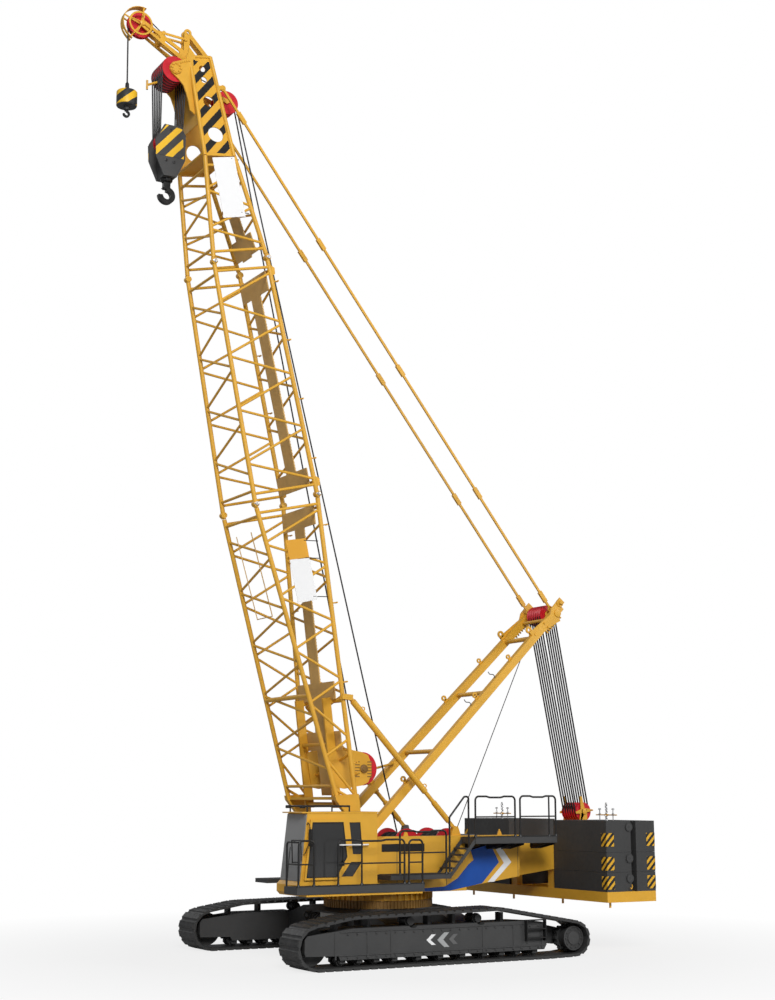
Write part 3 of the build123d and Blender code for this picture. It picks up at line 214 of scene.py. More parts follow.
@dataclass(frozen=True)
class Paint(Finish):
    """A sprayed paint: slightly uneven colour and gloss, with a faint orange-peel bump."""

    roughness: float = 0.42
    uneven: float = 0.10
    peel: float = 0.06
    metallic: float = 0.0

    def base(self, tree: Surface) -> Socket:
        """The paint's colour, a little darker and lighter in patches.

        Args:
            tree: the material's tree.

        Returns:
            The colour's socket.
        """
        dark = tuple(c * (1 - self.uneven) for c in self.colour)
        light = tuple(min(1.0, c * (1 + self.uneven * 0.6)) for c in self.colour)
        return tree.ramp(tree.noise(1.3, 5.0, 0.6), 0.35, 0.65, dark, light)

    def lay(self, tree: Surface) -> None:
        """Colour, gloss and bump.

        Args:
            tree: the material's tree.
        """
        tree.wire("Base Color", self.base(tree))
        tree.wire("Roughness", tree.fit(tree.noise(9.0, 6.0), (0.3, 0.7),
                                        (self.roughness - 0.06, self.roughness + 0.10)))
        tree.shader.inputs["Metallic"].default_value = self.metallic
        bump = tree.add("Bump", {"Height": tree.noise(60.0, 2.0), "Strength": self.peel, "Distance": PEEL_DEPTH})
        tree.wire("Normal", bump.outputs[0])


@dataclass(frozen=True)
class Striped(Paint):
    """Diagonal warning stripes of two paints, across a direction and with a pitch between repeats."""

    second: Point = (0.02, 0.02, 0.02)
    along: Point = (1.0, 0.0, 1.0)
    pitch: float = 0.4
    offset: float = 0.0
    share: float = 0.5

    def base(self, tree: Surface) -> Socket:
        """The two colours in turn.

        Args:
            tree: the material's tree.

        Returns:
            The colour's socket.
        """
        length = math.sqrt(sum(v * v for v in self.along))
        run = tree.along(tuple(v / length / self.pitch for v in self.along))
        part = tree.math("FRACT", tree.math("ADD", run, self.offset))
        return tree.ramp(tree.math("LESS_THAN", part, self.share), 0.49, 0.51, self.second, self.colour)


@dataclass(frozen=True)
class HeadStripes(Striped):
    """Warning stripes on the outer faces of the boom head's side plates only, plain paint elsewhere."""

    low: Point = (4.94, 0.795, 19.225)
    up: Flat = (0.1471, 0.9891)
    taper: Flat = (0.158, 0.04)
    half_width: float = 0.335
    reach: Flat = (0.07, 2.60)

    def base(self, tree: Surface) -> Socket:
        """Stripes where a point lies on a side plate's outer face, inside its border.

        Args:
            tree: the material's tree.

        Returns:
            The colour's socket.
        """
        stripes = super().base(tree)
        parts = tree.add("SeparateXYZ", {"Vector": tree.place})
        run = self.measure(tree, (self.up[0], 0.0, self.up[1]))
        side = tree.math("ABSOLUTE", self.measure(tree, (self.up[1], 0.0, -self.up[0])))
        face = tree.math("MULTIPLY_ADD", run, self.taper[0], tree.math("ABSOLUTE", parts.outputs["Y"]))
        width = tree.math("MULTIPLY_ADD", run, self.taper[1], side)
        shown = tree.math("GREATER_THAN", face, self.low[1] - 0.012)
        for kind, value, limit in (("LESS_THAN", width, self.half_width), ("GREATER_THAN", run, self.reach[0]),
                                   ("LESS_THAN", run, self.reach[1])):
            shown = tree.math("MULTIPLY", shown, tree.math(kind, value, limit))
        mixed = tree.add("Mix", {"0": shown, "6": Paint.base(self, tree), "7": stripes}, data_type="RGBA")
        return mixed.outputs[2]

    def measure(self, tree: Surface, way: Point) -> Socket:
        """Distance from the plate's lower middle along a direction."""
        return tree.math("SUBTRACT", tree.along(way), self.low[0] * way[0] + self.low[2] * way[2])


@dataclass(frozen=True)
class WornSteel(Paint):
    """Cast or rolled steel with patches of another tint."""

    tint: Point = (0.10, 0.055, 0.03)

    def base(self, tree: Surface) -> Socket:
        """Steel colour with patches of the tint."""
        return tree.ramp(tree.noise(5.5, 8.0, 0.7), 0.52, 0.74, self.colour, self.tint)


@dataclass(frozen=True)
class Glazing(Finish):
    """Dark tinted safety glass, with a painted reflection that makes the leaning windscreen paler."""

    lean: Point = (1.0, 0.0, 0.1286)
    front_from: float = 3.60
    paler: float = 6.5
    slot: Slot = Slot.GLASS

    def lay(self, tree: Surface) -> None:
        """Tint with a painted reflection on the windscreen, smeared gloss and a little see-through.

        Args:
            tree: the material's tree.
        """
        tree.wire("Roughness", tree.fit(tree.noise(3.0, 4.0), (0.0, 1.0), (0.03, 0.10)))
        # painted reflection: where the glass leans forward as the windscreen, its base colour is made many times
        # paler
        front = tree.math("GREATER_THAN", tree.along(self.lean), self.front_from)
        pale = tuple(self.paler * part for part in self.colour)
        tree.wire("Base Color", tree.ramp(front, 0.4, 0.6, self.colour, pale))
        tree.shader.inputs["Alpha"].default_value = 0.95


MACHINE_YELLOW: Point = (0.74, 0.39, 0.032)
YELLOW = Paint("yellow_paint", MACHINE_YELLOW, peel=0.02, uneven=0.07)
GREY = Paint("dark_grey_paint", (0.050, 0.050, 0.050), roughness=0.55, peel=0.02, slot=Slot.GREY)
HOUSING = Paint("housing_paint", (0.115, 0.115, 0.118), roughness=0.5, peel=0.02, slot=Slot.GREY)
SLAB = Paint("slab_paint", (0.040, 0.040, 0.040), roughness=0.55, peel=0.02, slot=Slot.GREY)
MID_GREY = Paint("mid_grey_paint", (0.13, 0.13, 0.13), roughness=0.5, slot=Slot.GREY)
BLACK = Paint("black_paint", (0.010, 0.010, 0.010), roughness=0.38, slot=Slot.BLACK)
RED = Paint("red_paint", (0.60, 0.010, 0.022), roughness=0.40, slot=Slot.RED)
BLUE = Paint("blue_paint", (0.0, 0.070, 0.38), roughness=0.5, peel=0.02)
WHITE = Paint("white_paint", (0.88, 0.88, 0.88), roughness=0.45, uneven=0.015, peel=0.02)
BRONZE = Paint("ring_bronze", (0.26, 0.135, 0.025), roughness=0.5, uneven=0.25)
BROWN = Paint("walkway_brown", (0.64, 0.40, 0.13), roughness=0.62, uneven=0.15, peel=0.03, slot=Slot.BROWN)
PALE = Paint("light_grey_paint", (0.42, 0.43, 0.43), roughness=0.45, slot=Slot.SILVER)
AMBER = Paint("amber_paint", (0.80, 0.38, 0.02))
CABLE = Paint("black_hose", (0.010, 0.010, 0.011), roughness=0.5, slot=Slot.BLACK)
SEAT_CLOTH = Paint("seat_cloth", (0.030, 0.030, 0.033), roughness=0.85, peel=0.35, slot=Slot.RUBBER)
HAZARD = Striped("hazard_stripes", (0.74, 0.40, 0.02), second=(0.012, 0.012, 0.012), along=(1.0, -1.0, 1.0),
                 pitch=0.105)
BLOCK_STRIPES = Striped("block_stripes", (0.86, 0.50, 0.02), second=(0.045, 0.045, 0.045),
                        along=(0.75, 0.0, 0.66), pitch=0.31, offset=0.71, share=0.47, slot=Slot.GREY)
BALL_STRIPES = Striped("ball_stripes", (0.86, 0.50, 0.02), second=(0.03, 0.03, 0.03), along=(0.65, 0.0, 0.75),
                       pitch=0.30, offset=0.1, slot=Slot.BLACK)
HEAD_STRIPES = HeadStripes("head_stripes", MACHINE_YELLOW, peel=0.02, uneven=0.07, second=(0.008, 0.008, 0.008),
                           along=(0.795, 0.0, 0.607), pitch=0.3285, offset=0.234, share=0.502)
SILVER = Paint("silver_paint", (0.62, 0.62, 0.63), roughness=0.30, metallic=0.6, slot=Slot.SILVER)
RUBBER = Paint("black_rubber", (0.014, 0.014, 0.014), roughness=0.72, slot=Slot.RUBBER)
TRACK_STEEL = WornSteel("track_steel", (0.036, 0.036, 0.036), roughness=0.50, slot=Slot.TRACK,
                        tint=(0.050, 0.048, 0.046))
ROPE_BLACK = Paint("black_rope", (0.008, 0.008, 0.009), roughness=0.55, uneven=0.2, slot=Slot.BLACK)
GLASS = Glazing("tinted_glass", (0.045, 0.045, 0.045))

FINISH_OF_SLOT = {
    "machine_yellow": YELLOW, "dark_grey_paint": GREY, "black_paint": BLACK, "red_paint": RED,
    "black_rubber": RUBBER, "cab_glass": GLASS, "track_steel": TRACK_STEEL, "silver_paint": SILVER,
    "light_grey_paint": MID_GREY, "bare_steel": SILVER, "walkway_brown": BROWN,
}
FINISH_OF_NODE = {
    "slewing_ring_lower": BRONZE, "boom_head": HEAD_STRIPES, "counterweight_lower": SLAB,
    "counterweight_middle": SLAB, "counterweight_upper": SLAB, "engine_housing": HOUSING,
}


# ---------------------------------------------------------------- outlines and paths
def circle(centre: Flat, radius: float, count: int, start: float = 0.0) -> list[Flat]:
    """Evenly spaced points of a circle, from a start angle in degrees on."""
    angles = [math.radians(360 * k / count + start) for k in range(count)]
    return [(centre[0] + radius * math.cos(a), centre[1] + radius * math.sin(a)) for a in angles]


def spokes(first: Vector, second: Vector, count: int) -> list[Vector]:
    """Directions all the way round, from a first towards a second."""
    angles = [2 * math.pi * k / count for k in range(count)]
    return [first * math.cos(a) + second * math.sin(a) for a in angles]


def washer(depth: float, inner: float, outer: float) -> list[Flat]:
    """The square section of a flat ring, for a hoop."""
    return [(0, inner), (depth, inner), (depth, outer), (0, outer)]


def off(side: int, inner: float, outer: float) -> Flat:
    """Limits along Y on one side of the centre plane, in rising order."""
    return tuple(sorted((side * inner, side * outer)))


def about(middle: float, half: float) -> Flat:
    """Limits on both sides of a middle."""
    return (middle - half, middle + half)


def spans(reach: float, count: int) -> list[float]:
    """Middles of equal parts of the width from -reach to reach."""
    return [-reach + 2 * reach * (i + 0.5) / count for i in range(count)]


def smooth_path(points: list[Point], steps: int) -> list[Point]:
    """A smooth curve through points, as short straight runs.

    Args:
        points: the points it goes through.
        steps: how many runs each part between two points has.

    Returns:
        The curve's points.
    """
    ends = [Vector(point) for point in (points[0], *points, points[-1])]
    path = []
    for a, b, c, d in zip(ends, ends[1:], ends[2:], ends[3:]):
        for t in (i / steps for i in range(steps)):
            path.append(tuple(0.5 * (2 * b + (c - a) * t + (2 * a - 5 * b + 4 * c - d) * t * t
                                     + (3 * b - a - 3 * c + d) * t ** 3)))
    return path + [tuple(points[-1])]


def rounded(x: Flat, y: Flat, radius: float) -> list[Flat]:
    """A rounded rectangle.

    Args:
        x, y: its limits.
        radius: the corners' radius.

    Returns:
        Its points, in order.
    """
    ring = []
    for cx, cy, start in ((x[1] - radius, y[1] - radius, 0), (x[0] + radius, y[1] - radius, 90),
                          (x[0] + radius, y[0] + radius, 180), (x[1] - radius, y[0] + radius, 270)):
        ring += circle((cx, cy), radius, 12, start)[:4]
    return ring


# ---------------------------------------------------------------- making pieces
def link(name: str, data: bpy.types.ID) -> bpy.types.Object:
    """Adds an object to the scene.

    Args:
        name: the object's name.
        data: its mesh, camera or lamp.

    Returns:
        The object.
    """
    thing = bpy.data.objects.new(name, data)
    bpy.context.scene.collection.objects.link(thing)
    return thing


def dress(thing: bpy.types.Object, finish: Finish, smooth: bool = True) -> bpy.types.Object:
    """Gives an object its finish.

    Args:
        thing: the object.
        finish: its finish.
        smooth: whether its round faces shade smoothly.

    Returns:
        The object.
    """
    thing.data.materials.clear()
    thing.data.materials.append(finish.build())
    if smooth:
        thing.data.shade_smooth()
        thing.data.set_sharp_from_angle(angle=SHARP)
    return thing


def mount(thing: bpy.types.Object, body: str, hides: tuple[str, ...] = ()) -> bpy.types.Object:
    """Sets an object on its body and reports it.

    Args:
        thing: the object.
        body: the body it rides on.
        hides: nodes of the frame that it stands for.

    Returns:
        The object.
    """
    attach(thing, body)
    if hides:
        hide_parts(*hides)
    LOG.info("%s: %d faces on %s", thing.name, len(thing.data.polygons), body)
    return thing


class Shape:
    """Gathers solid forms into one mesh and hands it over as a finished piece."""

    def __init__(self) -> None:
        """Starts with an empty mesh."""
        self.mesh = bmesh.new()

    def skin(self, rings: list[list[Vector]], closed: bool = False) -> "Shape":
        """Skins equally long rings of points into walls.

        Args:
            rings: the rings, in order.
            closed: whether the last ring joins the first. If not, both are filled.

        Returns:
            The shape itself.
        """
        made = [[self.mesh.verts.new(point) for point in ring] for ring in rings]
        for low, high in zip(made, made[1:] + (made[:1] if closed else [])):
            for i in range(len(low)):
                j = (i + 1) % len(low)
                self.mesh.faces.new((low[i], low[j], high[j], high[i]))
        if not closed:
            self.mesh.faces.new(made[0][::-1])
            self.mesh.faces.new(made[-1])
        return self

    def block(self, x: Flat, y: Flat, z: Flat) -> "Shape":
        """Adds a box between its limits along each axis."""
        ring = [(x[0], y[0]), (x[1], y[0]), (x[1], y[1]), (x[0], y[1])]
        return self.skin([[Vector((a, b, height)) for a, b in ring] for height in z])

    def plate(self, outline: list[Flat], y: Flat) -> "Shape":
        """Adds an outline in X and Z with thickness along Y."""
        return self.skin([[Vector((a, depth, b)) for a, b in outline] for depth in y])

    def tube(self, points: list[Point], radius: float, sides: int = 10) -> "Shape":
        """Adds a round bar along points, mitred where it turns.

        Args:
            points: the points along its middle.
            radius: its radius.
            sides: how many sides it has.

        Returns:
            The shape itself.
        """
        path = [Vector(point) for point in points]
        runs = [(b - a).normalized() for a, b in zip(path, path[1:])]
        side = runs[0].orthogonal().normalized()
        rings = []
        for i, point in enumerate(path):
            before, after = runs[max(i - 1, 0)], runs[min(i, len(runs) - 1)]
            middle = (before + after).normalized()
            side = (side - middle * side.dot(middle)).normalized()
            stretch = 1.0 / max(1.0 / MOST_STRETCH, middle.dot(after))
            bend = after - before
            ring = [way * radius for way in spokes(side, middle.cross(side), sides)]
            if bend.length > POINT_RADIUS:
                axis = bend.normalized()
                ring = [offset + axis * offset.dot(axis) * (stretch - 1.0) for offset in ring]
            rings.append([point + offset for offset in ring])
        return self.skin(rings)

    def turned(self, centre: Point, axis: Point, profile: list[Flat], sides: int = 32,
               closed: bool = False) -> "Shape":
        """Adds a turned form.

        Args:
            centre, axis: the axis of the turning.
            profile: (distance along the axis, radius) from end to end, or all round a hoop's section.
            sides: how many sides it has.
            closed: whether the profile is closed, as a hoop's is.

        Returns:
            The shape itself.
        """
        along, start = Vector(axis).normalized(), Vector(centre)
        side = along.orthogonal().normalized()
        ways = spokes(side, along.cross(side), sides)
        return self.skin([[start + along * distance + way * max(radius, POINT_RADIUS) for way in ways]
                          for distance, radius in profile], closed)

    def hoop(self, centre: Point, profile: list[Flat], sides: int = 32) -> "Shape":
        """Adds a turned form with a hole, round Y."""
        return self.turned(centre, ACROSS, profile, sides, True)

    def mirrored(self) -> "Shape":
        """Adds the mirror image of all so far on the other side of the centre plane.

        Returns:
            The shape itself.
        """
        faces = self.mesh.faces[:]
        twin = {v: self.mesh.verts.new((v.co.x, -v.co.y, v.co.z)) for v in self.mesh.verts[:]}
        for face in faces:
            self.mesh.faces.new([twin[v] for v in reversed(face.verts)])
        return self

    def data(self, name: str) -> bpy.types.Mesh:
        """Turns the forms into a mesh whose faces point outwards.

        Args:
            name: the mesh's name.

        Returns:
            The mesh.
        """
        bmesh.ops.recalc_face_normals(self.mesh, faces=self.mesh.faces)
        data = bpy.data.meshes.new(name)
        self.mesh.to_mesh(data)
        self.mesh.free()
        return data

    def loose(self, name: str, finish: Finish, smooth: bool = True) -> bpy.types.Object:
        """Makes the object with its finish, on no body yet."""
        return dress(link(name, self.data(name)), finish, smooth)

    def piece(self, name: str, finish: Finish, body: str, bevel: float = 0.0, smooth: bool = True,
              hides: tuple[str, ...] = ()) -> bpy.types.Object:
        """Makes the object, dresses it and sets it on its body.

        Args:
            name, finish, body: the piece's name and finish, and the body it rides on.
            bevel: width of its rounded edges, if any.
            smooth: whether its round faces shade smoothly.
            hides: nodes of the frame that it stands for.

        Returns:
            The object.
        """
        thing = self.loose(name, finish, smooth)
        if bevel:
            rounding = thing.modifiers.new("edges", "BEVEL")
            rounding.width, rounding.segments, rounding.limit_method = bevel, 2, "ANGLE"
            rounding.angle_limit = BEVELLED
        return mount(thing, body, hides)


# ---------------------------------------------------------------- repeated things
class Recipe(Tree):
    """A Geometry Nodes tree under construction, and the plain piece that it makes."""

    prefix = "GeometryNode"

    def __init__(self, name: str) -> None:
        """Makes an empty tree with a Geometry input and output.

        Args:
            name: the name of the tree and of its piece.
        """
        self.name, self.tree = name, bpy.data.node_groups.new(name, "GeometryNodeTree")
        super().__init__(self.tree)
        for way in ("INPUT", "OUTPUT"):
            self.tree.interface.new_socket("Geometry", in_out=way, socket_type="NodeSocketGeometry")
        self.start, self.end = self.add("NodeGroupInput"), self.add("NodeGroupOutput")

    def offer(self, name: str, kind: str) -> str:
        """Adds a named input to the tree.

        Args:
            name: the input's name.
            kind: its socket type, without its NodeSocket prefix.

        Returns:
            The identifier that a modifier sets it by.
        """
        return self.tree.interface.new_socket(name, in_out="INPUT", socket_type="NodeSocket" + kind).identifier

    def given(self, name: str) -> Socket:
        """The value of one of the tree's inputs."""
        return self.start.outputs[name]

    def bake(self, made: Socket, base: bpy.types.Mesh, values: dict[str, object], finish: Finish,
             body: str) -> bpy.types.Object:
        """Realises and paints what was made, runs the tree and keeps the result as a plain piece.

        Args:
            made: what the tree made.
            base: the mesh that it starts from.
            values: input identifiers with their values.
            finish, body: the piece's finish and the body it rides on.

        Returns:
            The new object, with no modifier.
        """
        real = self.add("RealizeInstances", {"Geometry": made})
        painted = self.add("SetMaterial", {"Geometry": real.outputs[0], "Material": finish.build()})
        self.links.new(painted.outputs[0], self.end.inputs[0])
        carrier = link(self.name + "_carrier", base)
        modifier = carrier.modifiers.new("nodes", "NODES")
        modifier.node_group = self.tree
        for key, value in values.items():
            modifier[key] = value
        bpy.context.view_layer.update()
        graph = bpy.context.evaluated_depsgraph_get()
        mesh = bpy.data.meshes.new_from_object(carrier.evaluated_get(graph))
        bpy.data.objects.remove(carrier)
        return mount(dress(link(self.name, mesh), finish), body)


@dataclass
class Copies:
    """Copies of one small form at many places, turned and sized one by one."""

    name: str
    form: Shape
    finish: Paint
    body: str
    places: list[tuple[Point, Point, float]] = field(default_factory=list)

    def put(self, place: Point, turn: Point = (0.0, 0.0, 0.0), size: float = 1.0) -> None:
        """Adds one copy, turned by Euler angles in degrees."""
        self.places.append((place, tuple(math.radians(angle) for angle in turn), size))

    def outwards(self, x: float, y: float, z: float, size: float = 1.0) -> None:
        """Adds a copy on each side of the centre plane, standing away from it."""
        for side in SIDES:
            self.put((x, side * y, z), (-90 * side, 0, 0), size)

    def build(self) -> None:
        """Makes all copies one plain piece."""
        form = link(self.name + "_form", self.form.data(self.name + "_form"))
        base = bpy.data.meshes.new(self.name)
        base.from_pydata([place for place, _, _ in self.places], [], [])
        base.attributes.new("turn", "FLOAT_VECTOR", "POINT")
        base.attributes.new("size", "FLOAT", "POINT")
        for i, (_, turn, size) in enumerate(self.places):
            base.attributes["turn"].data[i].vector = turn
            base.attributes["size"].data[i].value = size
        nodes = Recipe(self.name)
        form_id, scale_id = nodes.offer("Form", "Object"), nodes.offer("Scale", "Float")
        shape = nodes.add("ObjectInfo", {"Object": nodes.given("Form")})
        turned = nodes.add("InputNamedAttribute", {"Name": "turn"}, data_type="FLOAT_VECTOR")
        sized = nodes.add("InputNamedAttribute", {"Name": "size"}, data_type="FLOAT")
        placed = nodes.add("InstanceOnPoints", {
            "Points": nodes.given("Geometry"), "Instance": shape.outputs["Geometry"], "Rotation": turned.outputs[0],
            "Scale": nodes.math("MULTIPLY", sized.outputs[0], nodes.given("Scale"))})
        nodes.bake(placed.outputs[0], base, {form_id: form, scale_id: 1.0}, self.finish, self.body)
        bpy.data.objects.remove(form)


@dataclass
class Coil:
    """Rope wound on a drum along Y, with its turns a pitch of so many rope radii apart."""

    name: str
    axle: Flat
    radius: float
    width: float
    body: str
    rope: float = 0.0135
    pitch: float = 2.15
    steps: int = 28

    def build(self) -> None:
        """Winds a spiral and gives it the rope's round section."""
        nodes = Recipe(self.name)
        ids = [nodes.offer(name, "Float") for name in ("Turns", "Radius", "Width", "Rope")]
        spiral = nodes.add("CurveSpiral", {"Resolution": self.steps, "Rotations": nodes.given("Turns"),
                                           "Start Radius": nodes.given("Radius"),
                                           "End Radius": nodes.given("Radius"), "Height": nodes.given("Width")})
        section = nodes.add("CurvePrimitiveCircle", {"Resolution": 6, "Radius": nodes.given("Rope")})
        swept = nodes.add("CurveToMesh", {"Curve": spiral.outputs[0], "Profile Curve": section.outputs[0],
                                          "Fill Caps": True})
        start = (self.axle[0], self.width / 2, self.axle[1])
        laid = nodes.add("Transform", {"Geometry": swept.outputs[0], "Translation": start,
                                       "Rotation": (math.radians(90), 0.0, 0.0)})
        turns = round(self.width / (self.pitch * self.rope))
        nodes.bake(laid.outputs[0], bpy.data.meshes.new(self.name),
                   dict(zip(ids, (turns, self.radius, self.width, self.rope))), ROPE_BLACK, self.body)


@dataclass
class Bars:
    """A row of equal bars, as in a grating."""

    name: str
    form: Shape
    finish: Paint
    body: str
    count: int
    step: Point

    def place_from(self, start: Point) -> None:
        """Makes the row one plain piece.

        Args:
            start: where the first bar's origin goes.
        """
        bmesh.ops.translate(self.form.mesh, vec=start, verts=self.form.mesh.verts)
        nodes = Recipe(self.name)
        ids = nodes.offer("Count", "Int"), nodes.offer("Step", "Vector")
        line = nodes.add("MeshLine", {"Count": nodes.given("Count"), "Offset": nodes.given("Step")}, mode="OFFSET")
        made = nodes.add("InstanceOnPoints", {"Points": line.outputs[0], "Instance": nodes.given("Geometry")})
        nodes.bake(made.outputs[0], self.form.data(self.name), dict(zip(ids, (self.count, self.step))),
                   self.finish, self.body)


def bolt(radius: float = 0.022, height: float = 0.018) -> Shape:
    """A six-sided bolt head on a washer, standing on Z."""
    return Shape().turned((0, 0, -0.004), UP, [(0, radius * 1.35), (0.008, radius * 1.35)], 12).turned(
        (0, 0, 0.003), UP, [(0, radius), (height * 0.8, radius), (height, radius * 0.8)], 6)


# ---------------------------------------------------------------- rigging
@dataclass
class Rigging:
    """Every taut rope: hook falls, mast hoist, hoist ropes to the head and the winch coils."""

    parts: int = 6
    fall: float = 0.018
    hoist_rope: float = 0.019
    head_sheave: float = 0.318
    block_sheave: float = 0.285

    def falls(self) -> None:
        """Six parts of rope on each side of the head sheaves down to the hook block."""
        form, wraps = Shape(), Shape()
        for top, low in zip(spans(0.395, self.parts), spans(0.285, self.parts)):
            for side in SIDES:
                form.tube([(HEAD_AXLE[0] + side * self.head_sheave, top, HEAD_AXLE[1]),
                           (BLOCK_AXLE[0] + side * self.block_sheave, low, BLOCK_AXLE[1])], self.fall, 6)
            for axle, y, radius in ((HEAD_AXLE, top, self.head_sheave), (BLOCK_AXLE, low, self.block_sheave)):
                wraps.hoop((axle[0], y, axle[1]), circle((0, radius), self.fall, 6), 40)
        form.piece("hook_falls", ROPE_BLACK, BLOCK)
        wraps.piece("rope_round_block_sheaves", ROPE_BLACK, BLOCK)

    def single(self) -> None:
        """The single fall of the auxiliary hook with its wedge socket."""
        x, z = BALL_X, 20.84
        form = Shape().tube([(AUX_AXLE[0] + 0.305, 0.0, AUX_AXLE[1]), (x, 0.0, z)], 0.020, 8)
        form.turned((x, 0, z - 0.02), UP, [(0, 0.05), (0.12, 0.045), (0.16, 0.02)], 16)
        form.piece("aux_fall", ROPE_BLACK, BALL)

    def crossing(self, name: str, runs: list[tuple[Vector, Vector]], radius: float) -> None:
        """Straight ropes from the superstructure to a body that luffs.

        Args:
            name: the piece's name.
            runs: lower and upper end of every rope.
            radius: the ropes' radius.
        """
        form = Shape()
        for run in runs:
            form.tube(run, radius, 6)
        thing = form.loose(name, ROPE_BLACK)
        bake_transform(thing)

    def mast_hoist(self) -> None:
        """Twelve parts between the mast's sheaves and the lower block, and a thin line beside them."""
        start, end = (Vector((x, 0, z)) for x, z in (TAIL_AXLE, MAST_AXLE))
        run = (end - start).normalized()
        out = Vector((run.z, 0, -run.x))
        runs = [(start + out * 0.215 * side + Vector((0, low, 0)), end + out * 0.235 * side + Vector((0, top, 0)))
                for low, top in zip(spans(0.31, self.parts), spans(0.30, self.parts)) for side in SIDES]
        self.crossing("mast_hoist_ropes", runs, 0.022)
        self.crossing("mast_line", [(Vector((-1.80, 0.70, 2.84)), Vector((-3.90, 0.70, 7.34)))], 0.011)

    def hoist(self) -> None:
        """A rope from the front deck drum and one from the boom's own drum, over the guide and the head."""
        (x, z), y = GUIDE_AXLE, 0.085
        self.crossing("main_hoist_rope", [(Vector((-0.44, 0.17, 2.88)), Vector((x - 0.27, y, z + 0.04)))],
                      self.hoist_rope)
        own = Shape().tube([(0.468, -y, 4.475), (x - 0.285, -y, z + 0.06)], self.hoist_rope, 6)
        own.piece("boom_winch_rope_run", ROPE_BLACK, BOOM)
        over = Shape().tube([(x, y, z + 0.285), (HEAD_AXLE[0] - 0.25, y, HEAD_AXLE[1] + 0.20)], 0.014, 6)
        over.tube([(x, -y, z + 0.285), (AUX_AXLE[0] - 0.15, 0.0, AUX_AXLE[1] + 0.28)], 0.014, 6)
        over.piece("ropes_over_head", ROPE_BLACK, BOOM)

    def build(self) -> None:
        """Makes all of it, with the rope wound on the three drums."""
        self.falls()
        self.single()
        self.mast_hoist()
        self.hoist()
        for body, axle, radius, width in (("front_winch", FRONT_DRUM, 0.238, 0.90),
                                          ("rear_winch", REAR_DRUM, 0.238, 0.90),
                                          ("boom_winch", BOOM_DRUM, 0.322, 1.13)):
            Coil(body + "_rope", axle, radius, width, body).build()


# ---------------------------------------------------------------- flank and signs
@dataclass
class Flank:
    """The blue sweep, white chevron, blank nameplate and seams on the yellow side."""

    face: float = 1.45
    sweep: tuple[Flat, ...] = ((-1.823, 2.568), (-2.376, 2.544), (-2.597, 2.152), (-2.098, 1.661), (-1.18, 1.51),
                               (-0.295, 1.51), (-0.295, 1.58), (-1.04, 1.61), (-1.40, 1.80), (-1.714, 2.122),
                               (-1.86, 2.217), (-1.762, 2.486))
    chevron: tuple[Flat, ...] = ((-2.479, 2.559), (-2.645, 2.54), (-2.963, 2.145), (-2.446, 1.686),
                                 (-2.261, 1.684), (-2.742, 2.133), (-2.519, 2.44))

    def proud(self, height: float) -> Flat:
        """Limits along Y of something that stands out of the flank."""
        return (self.face - 0.002, self.face + height)

    def build(self) -> None:
        """Makes the flank's plates, a little proud of the paint."""
        Shape().plate(self.sweep, self.proud(0.004)).piece("flank_sweep", BLUE, UPPER, smooth=False)
        Shape().plate(self.chevron, self.proud(0.004)).piece("flank_chevron", WHITE, UPPER, smooth=False)
        plate = Shape().block((-0.46, 0.72), self.proud(0.010), (2.45, 2.63))
        plate.piece("nameplate", BLACK, UPPER, bevel=0.006)
        seams = Shape()
        for x, low in ((-3.16, 1.80), (-1.08, 1.62), (0.30, 1.62)):
            seams.block(about(x, 0.006), self.proud(0.003), (low, 2.60))
        seams.piece("flank_seams", GREY, UPPER, smooth=False)


@dataclass
class Signs:
    """Blank boards on the boom: a banner near the head, a square and a sheet on the lower part."""

    thickness: float = 0.012
    boards: tuple[tuple[str, Paint, float, tuple[Flat, ...]], ...] = (
        ("banner_board", WHITE, 0.83, ((5.15, 19.125), (4.568, 19.26), (4.23, 17.771), (4.813, 17.633))),
        ("amber_board", AMBER, 1.055, ((3.151, 9.763), (2.607, 9.857), (2.508, 9.403), (3.033, 9.297))),
        ("white_board", WHITE, 1.055, ((3.028, 9.290), (2.505, 9.392), (2.271, 8.399), (2.797, 8.266))))

    def build(self) -> None:
        """Makes the boards and the clips that hold them."""
        for name, paint, y, outline in self.boards:
            Shape().plate(outline, (y, y + self.thickness)).piece(name, paint, BOOM, bevel=0.004)
        clips = Shape()
        for x, z in ((2.56, 9.80), (2.50, 9.38), (2.29, 8.46)):
            clips.tube([(x - 0.30, 1.035, z + 0.02), (x + 0.1, 1.062, z)], 0.012, 6)
        for x, z in ((4.55, 19.2), (4.25, 17.86)):
            clips.tube([(x - 0.12, 0.80, z + 0.02), (x + 0.1, 0.836, z)], 0.012, 6)
        clips.piece("board_clips", BLACK, BOOM)


